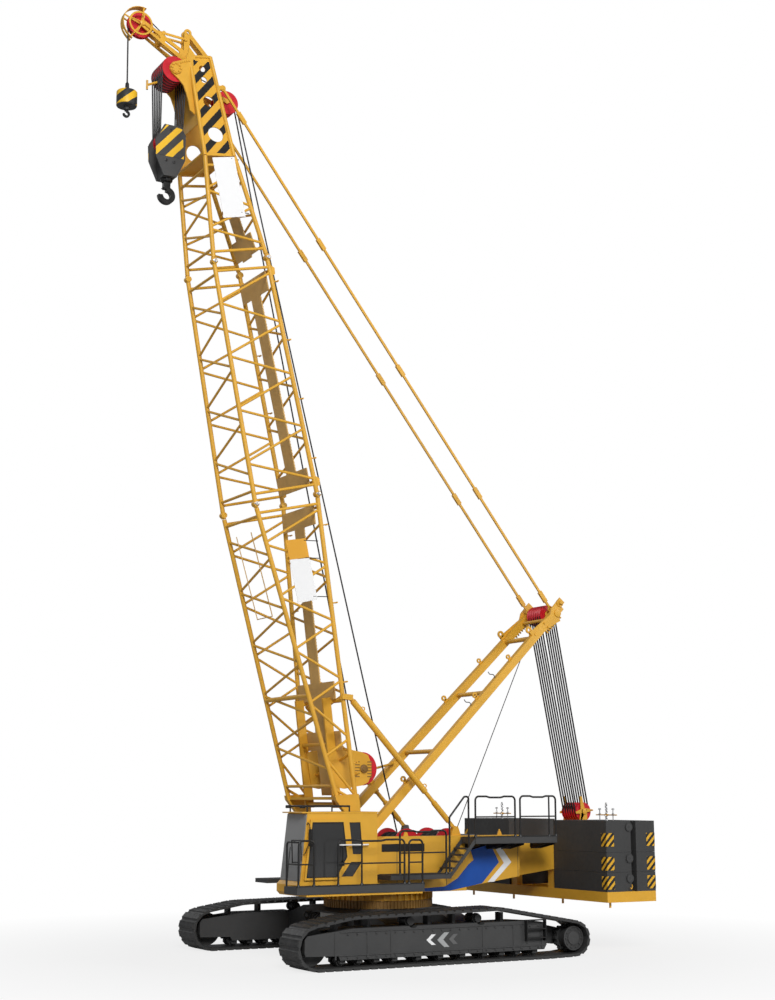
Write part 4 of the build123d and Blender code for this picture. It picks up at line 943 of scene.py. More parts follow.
# ---------------------------------------------------------------- tracks
@dataclass
class TrackTrim:
    """Arrows, ribs, bolts and round covers of both side frames, and the details of their shoes."""

    face: float = 3.2
    middle: float = 2.85
    bolts_in_row: int = 22
    shoe_count: int = 74
    shoe_half: float = 0.0695
    loop_steps: int = 720
    lowest: float = 0.10
    wheels: tuple[Point, ...] = ((*IDLER_AXLE, 0.43), (2.42, 0.68, 0.40), (-1.42, 0.74, 0.40),
                                 (*DRIVE_AXLE, 0.345), (-2.70, 0.20, 0.13))
    arrows: tuple[tuple[str, Paint, tuple[Flat, ...]], ...] = (
        ("arrow_white", WHITE, ((0.551, 0.555), (0.416, 0.675), (0.306, 0.675), (0.449, 0.555), (0.306, 0.445),
                                (0.417, 0.445))),
        ("arrow_light", PALE, ((0.271, 0.547), (0.083, 0.705), (-0.050, 0.705), (0.108, 0.55), (-0.050, 0.386),
                               (0.083, 0.386))),
        ("arrow_grey", MID_GREY, ((-0.044, 0.552), (-0.165, 0.660), (-0.278, 0.660), (-0.164, 0.547),
                                  (-0.278, 0.440), (-0.165, 0.440))))

    def panels(self) -> None:
        """Arrows and the edges of the bolted panels."""
        for name, paint, outline in self.arrows:
            arrow = Shape().plate(outline, (self.face - 0.001, self.face + 0.005))
            arrow.mirrored().piece(name, paint, LOWER, smooth=False)
        ribs = Shape()
        for x in (2.867, 2.06, 1.458, -0.97, -1.82, -2.62):
            ribs.block(about(x, 0.022), (self.face - 0.002, self.face + 0.012), (0.23, 0.80))
        for end, z in ((2.79, 0.30), (2.76, 0.80)):
            ribs.block((-2.66, end), (self.face - 0.002, self.face + 0.016), (z, z + 0.025))
        ribs.mirrored().piece("side_frame_ribs", GREY, LOWER, bevel=0.004)

    def bolts(self) -> None:
        """Bolt heads along the panels' edges and round the final drives."""
        heads = Copies("side_frame_bolts", bolt(), GREY, LOWER)
        for i in range(self.bolts_in_row):
            for z in (0.27, 0.76):
                heads.outwards(-2.52 + i * 0.242, self.face, z)
        for x, z in circle(DRIVE_AXLE, 0.215, 10):
            heads.outwards(x, 3.19, z)
        heads.build()

    def shoe_places(self) -> list[tuple[Vector, Vector]]:
        """Middles of the shoes round the loop and their outward directions, in X and Z.

        Returns:
            Pairs of middle and direction.
        """
        line = []
        for nx, nz in circle((0.0, 0.0), 1.0, self.loop_steps):
            x, z, r = max(self.wheels, key=lambda wheel: wheel[0] * nx + wheel[1] * nz + wheel[2])
            line.append(Vector((x + r * nx, z + r * nz)))
        ends = line[1:] + line[:1]
        pitch = sum((b - a).length for a, b in zip(line, ends)) / self.shoe_count
        joints, travelled = [], 0.0
        for a, b in zip(line, ends):
            length = (b - a).length
            while len(joints) < self.shoe_count and len(joints) * pitch <= travelled + length:
                share = (len(joints) * pitch - travelled) / length if length else 0.0
                joints.append(a + (b - a) * share)
            travelled += length
        found = []
        for a, b in zip(joints, joints[1:] + joints[:1]):
            run = (b - a).normalized()
            out = Vector((run.y, -run.x))
            found.append(((a + b) / 2 + out * self.shoe_half, out))
        return found

    def shoes(self) -> None:
        """Two rows of black discs that paint the shade inside the bolt holes, and an edge plate on every shoe that
        is off the ground.
        """
        holes, plates = Shape(), Shape()
        # painted shade: flat black discs stand for the shade inside the shoes' bolt holes
        for y in (-0.36, -0.27, -0.12, 0.12, 0.27, 0.36):
            for x in (-0.045, 0.045):
                holes.turned((x, y, -0.004), UP, [(0, 0.025), (0.007, 0.025)], 8)
        for y in (-0.315, 0.315):
            for side in SIDES:
                plates.block(off(side, 0.068, 0.075), about(y, 0.15), (-0.012, 0.006))
        rows = (Copies("shoe_bolt_holes", holes, BLACK, LOWER), Copies("shoe_edges", plates, TRACK_STEEL, LOWER))
        for copies in rows:
            for (x, z), (nx, nz) in self.shoe_places():
                if z >= self.lowest:
                    for side in SIDES:
                        copies.put((x, side * self.middle, z), (0.0, math.degrees(math.atan2(nx, nz)), 0.0))
            copies.build()

    def covers(self) -> None:
        """Rims of the final drives' round covers and the caps of the idlers' axles."""
        drive, idler = (DRIVE_AXLE[0], 3.188, DRIVE_AXLE[1]), (IDLER_AXLE[0], 3.06, IDLER_AXLE[1])
        form = Shape().hoop(drive, [(0, 0.255), (0.022, 0.255), (0.022, 0.28), (0, 0.285)], 40)
        form.turned(drive, ACROSS, [(0, 0.16), (0.02, 0.155), (0.026, 0.09), (0.02, 0.02)])
        form.turned(idler, ACROSS, [(0, 0.145), (0.03, 0.14), (0.045, 0.10)])
        form.mirrored().piece("drive_covers", GREY, LOWER, bevel=0.003)

    def build(self) -> None:
        """Makes all of it."""
        self.panels()
        self.bolts()
        self.shoes()
        self.covers()


# ---------------------------------------------------------------- slewing ring and carbody
@dataclass
class RingTrim:
    """Ribs and bolts round the slewing ring, hoses of the carbody, and pale cover plates whose light grey also
    paints the sky's highlight on the carbody.
    """

    rib_count: int = 48
    bolt_count: int = 60

    def ring(self) -> None:
        """The upper ring's ribs and the lower ring's bolts."""
        ribs = Copies("ring_ribs", Shape().block((0, 0.075), (-0.014, 0.014), (0, 0.17)), YELLOW, UPPER)
        for i, (x, y) in enumerate(circle((0, 0), 1.262, self.rib_count)):
            ribs.put((x, y, 1.312), (0, 0, 360 * i / self.rib_count))
        ribs.build()
        heads = Copies("ring_bolts", bolt(0.028, 0.03), BRONZE, LOWER)
        for i, (x, y) in enumerate(circle((0, 0), 1.16, self.bolt_count, 3)):
            heads.put((x, y, 1.296), (0, 0, 360 * i / self.bolt_count))
        heads.build()

    def build(self) -> None:
        """Makes the ring's details, the carbody's hoses, and pale cover plates that also carry a painted highlight.
        """
        self.ring()
        hoses, covers = Shape(), Shape()
        for i, y in enumerate((-0.62, -0.54, -0.46, 0.46, 0.54, 0.62)):
            sag = 0.06 * (i % 3)
            path = [(1.36, y, 0.96), (1.50, y, 0.93 - sag), (1.56, y * 1.05, 0.74 - sag), (1.50, y * 1.2, 0.60),
                    (1.36, y * 1.25, 0.60)]
            for side in SIDES:
                hoses.tube(smooth_path([(side * a, b, c) for a, b, c in path], 5), 0.017, 8)
        hoses.piece("carbody_hoses", CABLE, LOWER)
        # pale cover plates: their light grey is partly the plates' paint and partly a painted sky highlight on the
        # carbody
        for side in SIDES:
            covers.block(off(side, 1.348, 1.37), (-0.42, 0.42), (0.66, 0.98))
        covers.piece("carbody_covers", PALE, LOWER, bevel=0.008)


# ---------------------------------------------------------------- counterweight
@dataclass
class BallastTrim:
    """Hazard patches, lifting frames, chains and lug rings of the counterweight."""

    face: float = 3.2
    row: float = -5.25
    frames: tuple[float, ...] = (2.34, -2.34)
    chain_links: int = 10

    def patches(self) -> None:
        """Striped patches on the stacks' outer corners."""
        form = Shape()
        for z in ((2.54, 2.86), (1.97, 2.29), (1.52, 1.83)):
            for x, inner in (((-4.80, -4.566), self.face - 0.02), ((-4.572, -4.564), 3.0),
                             ((-6.045, -5.805), self.face - 0.02), ((-6.064, -6.056), 3.0)):
                form.block(x, (inner, self.face + 0.004), z)
        form.mirrored().piece("hazard_patches", HAZARD, UPPER, smooth=False)

    def tackle(self) -> None:
        """Lifting frames with bolts and chains on top of the stacks."""
        posts, beams = Shape(), Shape()
        nuts = Copies("post_nuts", bolt(0.028, 0.03), SILVER, UPPER)
        section = [(0.010 * math.cos(a), 0.030 + 0.010 * math.sin(a)) for a in (0, 1.05, 2.1, 3.14, 4.2, 5.24)]
        chain = Copies("lifting_chains", Shape().hoop((0, 0, 0), section, 14), SILVER, UPPER)
        for y in self.frames:
            beams.tube([(self.row, y - 0.42, 3.285), (self.row, y + 0.42, 3.285)], 0.014, 8)
            beams.block(about(self.row, 0.03), about(y, 0.05), (3.265, 3.305))
            for post in about(y, 0.27):
                posts.tube([(self.row, post, 3.14), (self.row, post, 3.42)], 0.013, 8)
                posts.turned((self.row, post, 3.41), UP, [(0, 0.035), (0.03, 0.035), (0.04, 0.02)], 12)
                nuts.put((self.row, post, 3.30))
            for i in range(self.chain_links):
                chain.put((self.row + 0.006 * math.sin(i), y, 3.175 + 0.042 * i), (0, 0, 90 * (i % 2)))
        posts.piece("lifting_bolts", SILVER, UPPER, hides=("ballast_lifting_posts",))
        beams.piece("lifting_beams", YELLOW, UPPER)
        nuts.build()
        chain.build()

    def lugs(self) -> None:
        """Rings and hooks of the lugs in the stacks' recess."""
        pins = Shape()
        for z in (1.77, 2.246, 3.0):
            pins.hoop((-5.27, 3.190, z), washer(0.004, 0.035, 0.075), 28)
        pins.mirrored().piece("lug_rings", GREY, UPPER)
        path = [(-5.33, 3.19, 1.62), (-5.33, 3.20, 1.56), (-5.30, 3.20, 1.52), (-5.27, 3.20, 1.55)]
        Shape().tube(smooth_path(path, 4), 0.012, 8).mirrored().piece("lug_hooks", YELLOW, UPPER)

    def build(self) -> None:
        """Makes all of it."""
        self.patches()
        self.tackle()
        self.lugs()


# ---------------------------------------------------------------- studio
@dataclass
class Studio:
    """Camera, soft lights, pale floor and world."""

    eye: Point = (19.871, 35.170, 3.730)
    yaw: float = -119.8
    pitch: float = 10.48
    focal: float = 57.77
    floor_reach: float = 160.0

    def aim(self, name: str, data: bpy.types.ID, place: Point, ahead: Vector) -> bpy.types.Object:
        """Adds a camera or lamp.

        Args:
            name: its name.
            data: its camera or lamp data.
            place: where it stands.
            ahead: the direction that it faces.

        Returns:
            The object.
        """
        thing = link(name, data)
        thing.location, thing.rotation_euler = place, ahead.to_track_quat("-Z", "Y").to_euler()
        return thing

    def camera(self) -> None:
        """Adds the camera and makes it the scene's."""
        data = bpy.data.cameras.new("camera")
        data.lens, data.sensor_width, data.clip_end = self.focal, 36.0, 500.0
        yaw, pitch = math.radians(self.yaw), math.radians(self.pitch)
        ahead = Vector((math.cos(pitch) * math.cos(yaw), math.cos(pitch) * math.sin(yaw), math.sin(pitch)))
        bpy.context.scene.camera = self.aim("camera", data, self.eye, ahead)

    def lamp(self, name: str, place: Point, target: Point, size: float, watts: float) -> None:
        """Adds one square soft box.

        Args:
            name: the lamp's name.
            place, target: where it stands and what it points at.
            size: its side in metres.
            watts: its power.
        """
        data = bpy.data.lights.new(name, "AREA")
        data.size, data.energy = size, watts
        self.aim(name, data, place, Vector(target) - Vector(place))

    def floor(self) -> None:
        """Adds the pale floor, which the camera sees as white."""
        mesh = bpy.data.meshes.new("floor")
        reach = self.floor_reach
        mesh.from_pydata([(-reach, -reach, 0), (reach, -reach, 0), (reach, reach, 0), (-reach, reach, 0)],
                         [], [(0, 1, 2, 3)])
        floor = link("floor", mesh)
        material = bpy.data.materials.new("floor")
        tree = Surface(material)
        tree.shader.inputs["Base Color"].default_value = (0.55, 0.55, 0.55, 1.0)
        tree.shader.inputs["Roughness"].default_value = 0.9
        centre = tree.add("VectorMath", {"0": tree.place}, operation="LENGTH").outputs["Value"]
        seen = tree.add("LightPath").outputs["Is Camera Ray"]
        far = tree.math("MULTIPLY", tree.fit(centre, (6.0, 16.0), (0.80, 1.0)), seen)
        white = tree.add("Emission", {"Color": (1.0, 1.0, 1.0, 1.0), "Strength": 1.0})
        fade = tree.add("MixShader", {"0": far, "1": tree.shader.outputs[0], "2": white.outputs[0]})
        tree.links.new(fade.outputs[0], tree.output.inputs[0])
        mesh.materials.append(material)

    def world(self) -> None:
        """Adds an even pale surround, which the camera sees as white."""
        world = bpy.data.worlds.new("world")
        bpy.context.scene.world = world
        world.use_nodes = True
        tree = Tree(world.node_tree)
        rays = tree.add("LightPath").outputs
        glow = tree.add("Background", {"Color": (0.95, 0.97, 1.0, 1.0), "Strength": 0.22})
        sky = tree.add("Background", {"Color": (1.0, 1.0, 1.0, 1.0), "Strength": 1.0})
        either = tree.math("MAXIMUM", rays["Is Camera Ray"], rays["Is Transmission Ray"])
        mix = tree.add("MixShader", {"0": either, "1": glow.outputs[0], "2": sky.outputs[0]})
        tree.add("OutputWorld", {"Surface": mix.outputs[0]})
        bpy.context.scene.view_settings.view_transform = "Standard"

    def build(self) -> None:
        """Sets up the whole studio."""
        self.camera()
        self.world()
        self.floor()
        self.lamp("key", (26.0, 62.0, 42.0), (0, 0, 8), 24.0, 37500.0)
        self.lamp("side", (-34.0, 36.0, 26.0), (-2, 0, 6), 18.0, 6500.0)
        self.lamp("far", (8.0, -34.0, 26.0), (0, 0, 9), 18.0, 1400.0)


# ---------------------------------------------------------------- walkways and stairs
@dataclass
class WalkwayTrim:
    """Gratings, treads, kick plates, brackets and rail feet of the walkways."""

    gratings: tuple[tuple[str, float, int, float, Point], ...] = (
        ("upper_grating", 0.60, 58, 0.041, (-3.86, 1.49, 2.771)),
        ("lower_grating", 0.60, 39, 0.041, (-0.76, 1.49, 1.936)),
        ("catwalk_grating", 0.34, 74, 0.0435, (0.40, 2.48, 1.776)))
    kicks: tuple[tuple[Flat, Flat, Flat], ...] = (
        ((-3.88, -1.485), (2.118, 2.130), (2.771, 2.80)), ((-0.79, 0.86), (2.118, 2.130), (1.936, 1.965)),
        ((0.38, 3.64), (2.838, 2.850), (1.776, 1.80)))
    feet: tuple[tuple[float, float, tuple[float, ...]], ...] = (
        (2.105, 2.771, (-1.50, -2.65, -2.80, -3.66, -3.86)), (2.105, 1.936, (0.60, -0.67, -0.764)),
        (2.825, 1.776, (3.60, 3.215, 2.61, 2.01, 0.90, 0.78, 0.42)))
    gusset: tuple[Flat, ...] = ((1.46, 2.617), (2.08, 2.617), (2.08, 2.58), (1.46, 2.46))
    steps: int = 4
    step_bars: int = 6

    def brackets(self) -> None:
        """Folded brackets under the upper walkway, each with two gussets."""
        form = Shape()
        for x0, x1 in ((-2.51, -2.21), (-2.95, -2.64), (-3.86, -3.52), (-1.84, -1.60)):
            form.plate([(x0, 2.60), (x0, 2.50), (x0 + 0.05, 2.47), (x1 - 0.05, 2.47), (x1, 2.50), (x1, 2.60)],
                       (1.46, 1.50))
            for x in (x0 + 0.03, x1 - 0.03):
                form.skin([[Vector((face, y, z)) for y, z in self.gusset] for face in about(x, 0.008)])
        form.piece("walkway_brackets", BLACK, UPPER, bevel=0.003)

    def build(self) -> None:
        """Makes all of it."""
        for name, width, count, pitch, start in self.gratings:
            bar = Shape().block((0, 0.012), (0, width), (0, 0.010))
            Bars(name, bar, GREY, UPPER, count, (pitch, 0, 0)).place_from(start)
        self.brackets()
        kick, treads = Shape(), Shape()
        for limits in self.kicks:
            kick.block(*limits)
        kick.piece("kick_plates", BLACK, UPPER, bevel=0.002)
        for i in range(self.steps):
            z = 2.07 + 0.15 * i
            for k in range(self.step_bars):
                x = -0.998 - 0.13 * i + 0.025 * k
                treads.block((x, x + 0.012), (1.53, 2.06), (z, z + 0.008))
        treads.piece("tread_bars", GREY, UPPER, smooth=False)
        foot = Shape().turned((0, 0, 0), UP, [(0, 0.045), (0.02, 0.042), (0.05, 0.03)], 16)
        clamps = Copies("rail_feet", foot, BLACK, UPPER)
        for y, z, places in self.feet:
            for x in places:
                clamps.put((x, y, z))
        clamps.build()


# ---------------------------------------------------------------- cab
@dataclass
class CabTrim:
    """Seals, wiper, lamps, mirror, door gear, padded seat and console of the cab."""

    windows: tuple[tuple[Flat, ...], ...] = (((2.13, 3.16), (1.845, 3.16), (1.78, 2.45), (2.035, 2.45)),
                                             ((2.08, 2.28), (1.80, 2.28), (2.035, 1.96), (2.33, 1.96)))
    pane: tuple[Flat, ...] = ((3.225, 1.96), (3.085, 3.16), (2.315, 3.16), (2.215, 2.40), (2.48, 1.96))

    def seals(self) -> None:
        """Rubber seals round the side windows and the door's pane."""
        seals, door = Shape(), Shape()
        for form, outline, y, radius in (*((seals, window, 2.44, 0.009) for window in self.windows),
                                         (door, self.pane, 2.498, 0.011)):
            form.tube([(x, y, z) for x, z in (*outline, outline[0])], radius, 6)
        seals.piece("window_seals", RUBBER, UPPER)
        door.piece("door_seal", RUBBER, DOOR)

    def outside(self) -> None:
        """Door handle and rail, hand holds, wiper, mirror and lamps."""
        handle = Shape().tube([(2.34, 2.50, 2.30), (2.34, 2.545, 2.32), (2.34, 2.545, 2.62), (2.34, 2.50, 2.64)],
                              0.014, 8)
        handle.block((2.28, 2.40), (2.495, 2.512), (2.20, 2.28)).piece("door_handle", BLACK, DOOR, bevel=0.004)
        Shape().block((1.42, 2.20), (2.435, 2.449), (2.375, 2.41)).piece("door_rail", SILVER, UPPER, bevel=0.003)
        hold = [(1.67, 2.455, 2.66), (1.70, 2.52, 2.66), (2.05, 2.535, 2.66), (2.36, 2.52, 2.66), (2.39, 2.50, 2.66)]
        Shape().tube(smooth_path(hold, 4), 0.017, 8).piece("white_hand_hold", WHITE, UPPER)
        grab = [(3.47, 2.40, 2.31), (3.50, 2.60, 2.30), (3.64, 2.60, 2.30), (3.66, 2.60, 2.78), (3.44, 2.60, 2.78),
                (3.42, 2.60, 2.32)]
        Shape().tube(grab, 0.014, 8).piece("grab_frame", BLACK, UPPER)
        wiper = [(3.435, 1.95, 1.93), (3.385, 1.90, 2.30), (3.335, 1.88, 2.62)]
        Shape().tube(wiper, 0.010, 6).piece("wipers", BLACK, UPPER)
        arm = [(3.20, 2.46, 3.12), (3.24, 2.56, 3.16), (3.24, 2.64, 3.10), (3.22, 2.64, 2.96)]
        mirror = Shape().tube(smooth_path(arm, 4), 0.013, 8)
        mirror.tube([(3.24, 2.60, 2.70), (3.30, 2.56, 2.50), (3.30, 2.47, 2.46)], 0.010, 8)
        mirror.block((3.19, 3.225), (2.56, 2.72), (2.64, 3.02)).piece("mirror", BLACK, UPPER, bevel=0.016)
        lamps = Shape()
        for y in (1.62, 2.34):
            lamps.block((3.22, 3.32), about(y, 0.06), (3.475, 3.545))
        lamps.piece("lamp_bodies", BLACK, UPPER, bevel=0.015)

    def seat(self) -> None:
        """Padded cushion, back and head rest on a plain base."""
        seat, back, lean = Shape(), Shape(), 0.09 / 0.66
        seat.skin([[Vector((x, y, z))
                    for x, y in rounded((1.80 + inset, 2.35 - inset), (1.72 + inset, 2.20 - inset), 0.07)]
                   for z, inset in ((2.20, 0.05), (2.235, 0.008), (2.284, 0.0), (2.319, 0.012), (2.36, 0.07))])
        back.skin([[Vector((x - lean * (z - 2.34), y, z))
                    for y, z in rounded((1.74 + inset, 2.18 - inset), (2.36 + inset, 3.00 - inset), 0.09)]
                   for x, inset in ((1.80, 0.05), (1.839, 0.0), (1.891, 0.0), (1.93, 0.05))])
        back.skin([[Vector((x, y, z))
                    for y, z in rounded((1.83 + inset, 2.09 - inset), (3.02 + inset, 3.20 - inset), 0.05)]
                   for x, inset in ((1.70, 0.03), (1.74, 0.0), (1.80, 0.03))])
        base = Shape().block((1.95, 2.20), (1.84, 2.08), (1.925, 2.19))
        base.block((1.82, 2.33), (1.75, 2.17), (2.165, 2.20)).piece("seat_base", GREY, UPPER, bevel=0.01)
        cushion = seat.piece("seat_cushion", SEAT_CLOTH, UPPER, hides=("cab_seat",))
        rest = back.piece("seat_back", SEAT_CLOTH, UPPER)

    def controls(self) -> None:
        """Console and levers."""
        side = [(1.95, 1.93), (2.55, 1.93), (2.60, 2.42), (2.30, 2.52), (1.95, 2.46)]
        desk = Shape().plate(side, (2.24, 2.38)).plate(side, (1.54, 1.68))
        desk.plate([(3.02, 1.93), (3.20, 1.93), (3.12, 2.45), (3.02, 2.52)], (1.75, 2.20))
        desk.piece("cab_console", GREY, UPPER, bevel=0.015)
        levers = Shape()
        for y in (1.61, 2.31):
            levers.tube([(2.42, y, 2.45), (2.46, y, 2.66)], 0.012, 8)
            levers.turned((2.46, y, 2.64), UP, [(0, 0.02), (0.03, 0.032), (0.08, 0.03), (0.10, 0.015)], 12)
        levers.piece("levers", BLACK, UPPER)

    def build(self) -> None:
        """Makes all of it."""
        self.seals()
        self.outside()
        self.seat()
        self.controls()


# ---------------------------------------------------------------- boom
@dataclass
class BoomTrim:
    """Joint pins, rope guides, wire loop, gratings, head and winch details of the boom."""

    joints: tuple[tuple[Flat, Flat, float], ...] = ((BOOM_BACK[1], (3.895, 10.600), 0.935),
                                                    (BOOM_BACK[2], (5.041, 16.490), 0.807))
    pitch: float = 0.075
    inward: float = 0.075
    bar_width: float = 0.018
    bar_height: float = 0.012
    winch_face: float = 0.688

    def pins(self) -> None:
        """Pin heads and keepers at the section joints."""
        form = Shape()
        for back, front, half in self.joints:
            for x, z in (back, front):
                form.turned((x, half + 0.066, z), ACROSS, [(0, 0.045), (0.05, 0.045), (0.055, 0.03)], 16)
                form.block(about(x, 0.07), (half + 0.08, half + 0.092), about(z, 0.012))
        form.mirrored().piece("joint_pins", SILVER, BOOM)

    def guides(self) -> None:
        """Small T-shaped rope guides behind the chords, and the wire loop on the front face."""
        form = Shape()
        ends = [Vector((x, half, z)) for (x, z), half in zip(BOOM_BACK, (1.28, 0.935, 0.807))]
        for low, high in zip(ends, ends[1:]):
            for share in (0.15, 0.40, 0.65, 0.90):
                x, half, z = low.lerp(high, share)
                for y in (half, -half):
                    form.tube([(x - 0.04, y, z), (x - 0.15, y, z + 0.02)], 0.018, 6)
                    form.tube([(x - 0.15, y - 0.05, z + 0.02), (x - 0.15, y + 0.05, z + 0.02)], 0.022, 6)
        form.piece("rope_guides", YELLOW, BOOM)
        loop = [(3.76, 0.42, 10.0), (3.16, 0.42, 8.0), (3.16, -0.42, 8.0), (3.76, -0.42, 10.0)]
        Shape().tube(loop, 0.013, 6).piece("wire_loop", BROWN, BOOM)

    def grating(self) -> None:
        """Cross bars over the walkway strips inside the back face."""
        for name, low, high, first, last in (("base_grating", *BOOM_BACK[:2], 0.42, 7.26),
                                             ("insert_grating", *BOOM_BACK[1:3], 0.32, 5.62),
                                             ("top_grating", *BOOM_BACK[2:], 0.22, 2.31)):
            low, run = Vector(low), (Vector(high) - Vector(low)).normalized()
            width, height = run * self.bar_width, Vector((-run.y, run.x)) * self.bar_height
            bar = Shape().plate([(0.0, 0.0), width, width + height, height], (-0.245, 0.245))
            x, z = low + run * first + Vector((run.y, -run.x)) * self.inward
            step = (run.x * self.pitch, 0.0, run.y * self.pitch)
            Bars(name, bar, BROWN, BOOM, int((last - first) / self.pitch), step).place_from((x, 0.0, z))

    def head(self) -> None:
        """Bolts, rope stop and pulley ring of the head."""
        bolts = Copies("head_bolts", bolt(0.03, 0.028), YELLOW, BOOM)
        for x, z in circle(HEAD_AXLE, 0.115, 8):
            bolts.outwards(x, 0.465, z)
        for k in range(6):
            bolts.outwards(5.93 - 0.055 * k, 0.435, 21.58 + 0.025 * k, 0.7)
        bolts.build()
        stop = Shape().tube([(6.30, 0.0, 21.165), (6.56, 0.0, 21.035)], 0.030, 8)
        stop.tube([(6.575, 0.0, 20.91), (6.575, 0.0, 21.15)], 0.028, 8).piece("head_rope_stop", YELLOW, BOOM)
        ring = Shape().hoop((6.86, 0.20, 22.51), washer(0.02, 0.265, 0.31), 40)
        for x, z in circle((6.86, 22.51), 0.27, 4, 20):
            ring.tube([(AUX_AXLE[0], 0.208, AUX_AXLE[1]), (x, 0.208, z)], 0.016, 6)
        ring.turned((AUX_AXLE[0], 0.17, AUX_AXLE[1]), ACROSS, [(0, 0.07), (0.05, 0.07), (0.06, 0.05)], 24)
        ring.piece("jib_rope_ring", YELLOW, BOOM, bevel=0.003)

    def winch(self) -> None:
        """Vents and hubs of the winch."""
        vents = Shape()
        for z in (4.20 + 0.07 * k for k in range(6)):
            for x in (0.56, 0.90):
                vents.block((x, x + 0.13), (self.winch_face, self.winch_face + 0.006), (z, z + 0.026))
        vents.mirrored().piece("winch_vents", BRONZE, BOOM, bevel=0.002)
        hub = Shape().turned((BOOM_DRUM[0], 0.69, BOOM_DRUM[1]), ACROSS,
                             [(0, 0.10), (0.02, 0.105), (0.04, 0.10), (0.05, 0.06), (0.065, 0.055)], 28)
        hub.mirrored().piece("winch_hubs", BRONZE, BOOM, bevel=0.004)

    def build(self) -> None:
        """Makes all of it."""
        self.pins()
        self.guides()
        self.grating()
        self.head()
        self.winch()


# ---------------------------------------------------------------- hooks
@dataclass
class HookTrim:
    """Striped cheeks, bolts and lower bearing of the hook block, and the striped weight over the small hook."""

    cheek: tuple[Flat, ...] = ((5.71, 19.946), (6.136, 19.989), (6.41, 19.55), (6.39, 19.173), (5.661, 19.176))

    def build(self) -> None:
        """Makes all of it."""
        cheeks = Shape().plate(self.cheek, (0.254, 0.262)).mirrored()
        cheeks.piece("block_stripes", BLOCK_STRIPES, BLOCK, smooth=False)
        cap = Shape()
        for x, z in ((5.92, 19.05), (6.12, 19.07), (6.02, 19.86)):
            cap.turned((x, 0.25, z), ACROSS, [(0, 0.035), (0.02, 0.035), (0.025, 0.02)], 12)
        cap.mirrored().turned((6.0, 0, 18.60), UP, [(0, 0.13), (0.03, 0.15), (0.08, 0.15), (0.10, 0.12)], 24)
        cap.piece("block_caps", BLACK, BLOCK, bevel=0.003)
        weight = Shape().turned((BALL_X, 0, 20.362), UP, [(0, 0.246), (0.008, 0.254), (0.345, 0.254),
                                                          (0.365, 0.24), (0.37, 0.10), (0.39, 0.075)], 40)
        weight.piece("weight_shell", BALL_STRIPES, BALL, hides=("aux_hook_weight",))
        eye = Shape().turned((BALL_X, 0, 20.24), UP, [(0, 0.04), (0.02, 0.07), (0.10, 0.075), (0.105, 0.24),
                                                      (0.118, 0.248)])
        eye.hoop((BALL_X, -0.02, 20.77), washer(0.04, 0.04, 0.075), 20).piece("weight_swivel", GREY, BALL)


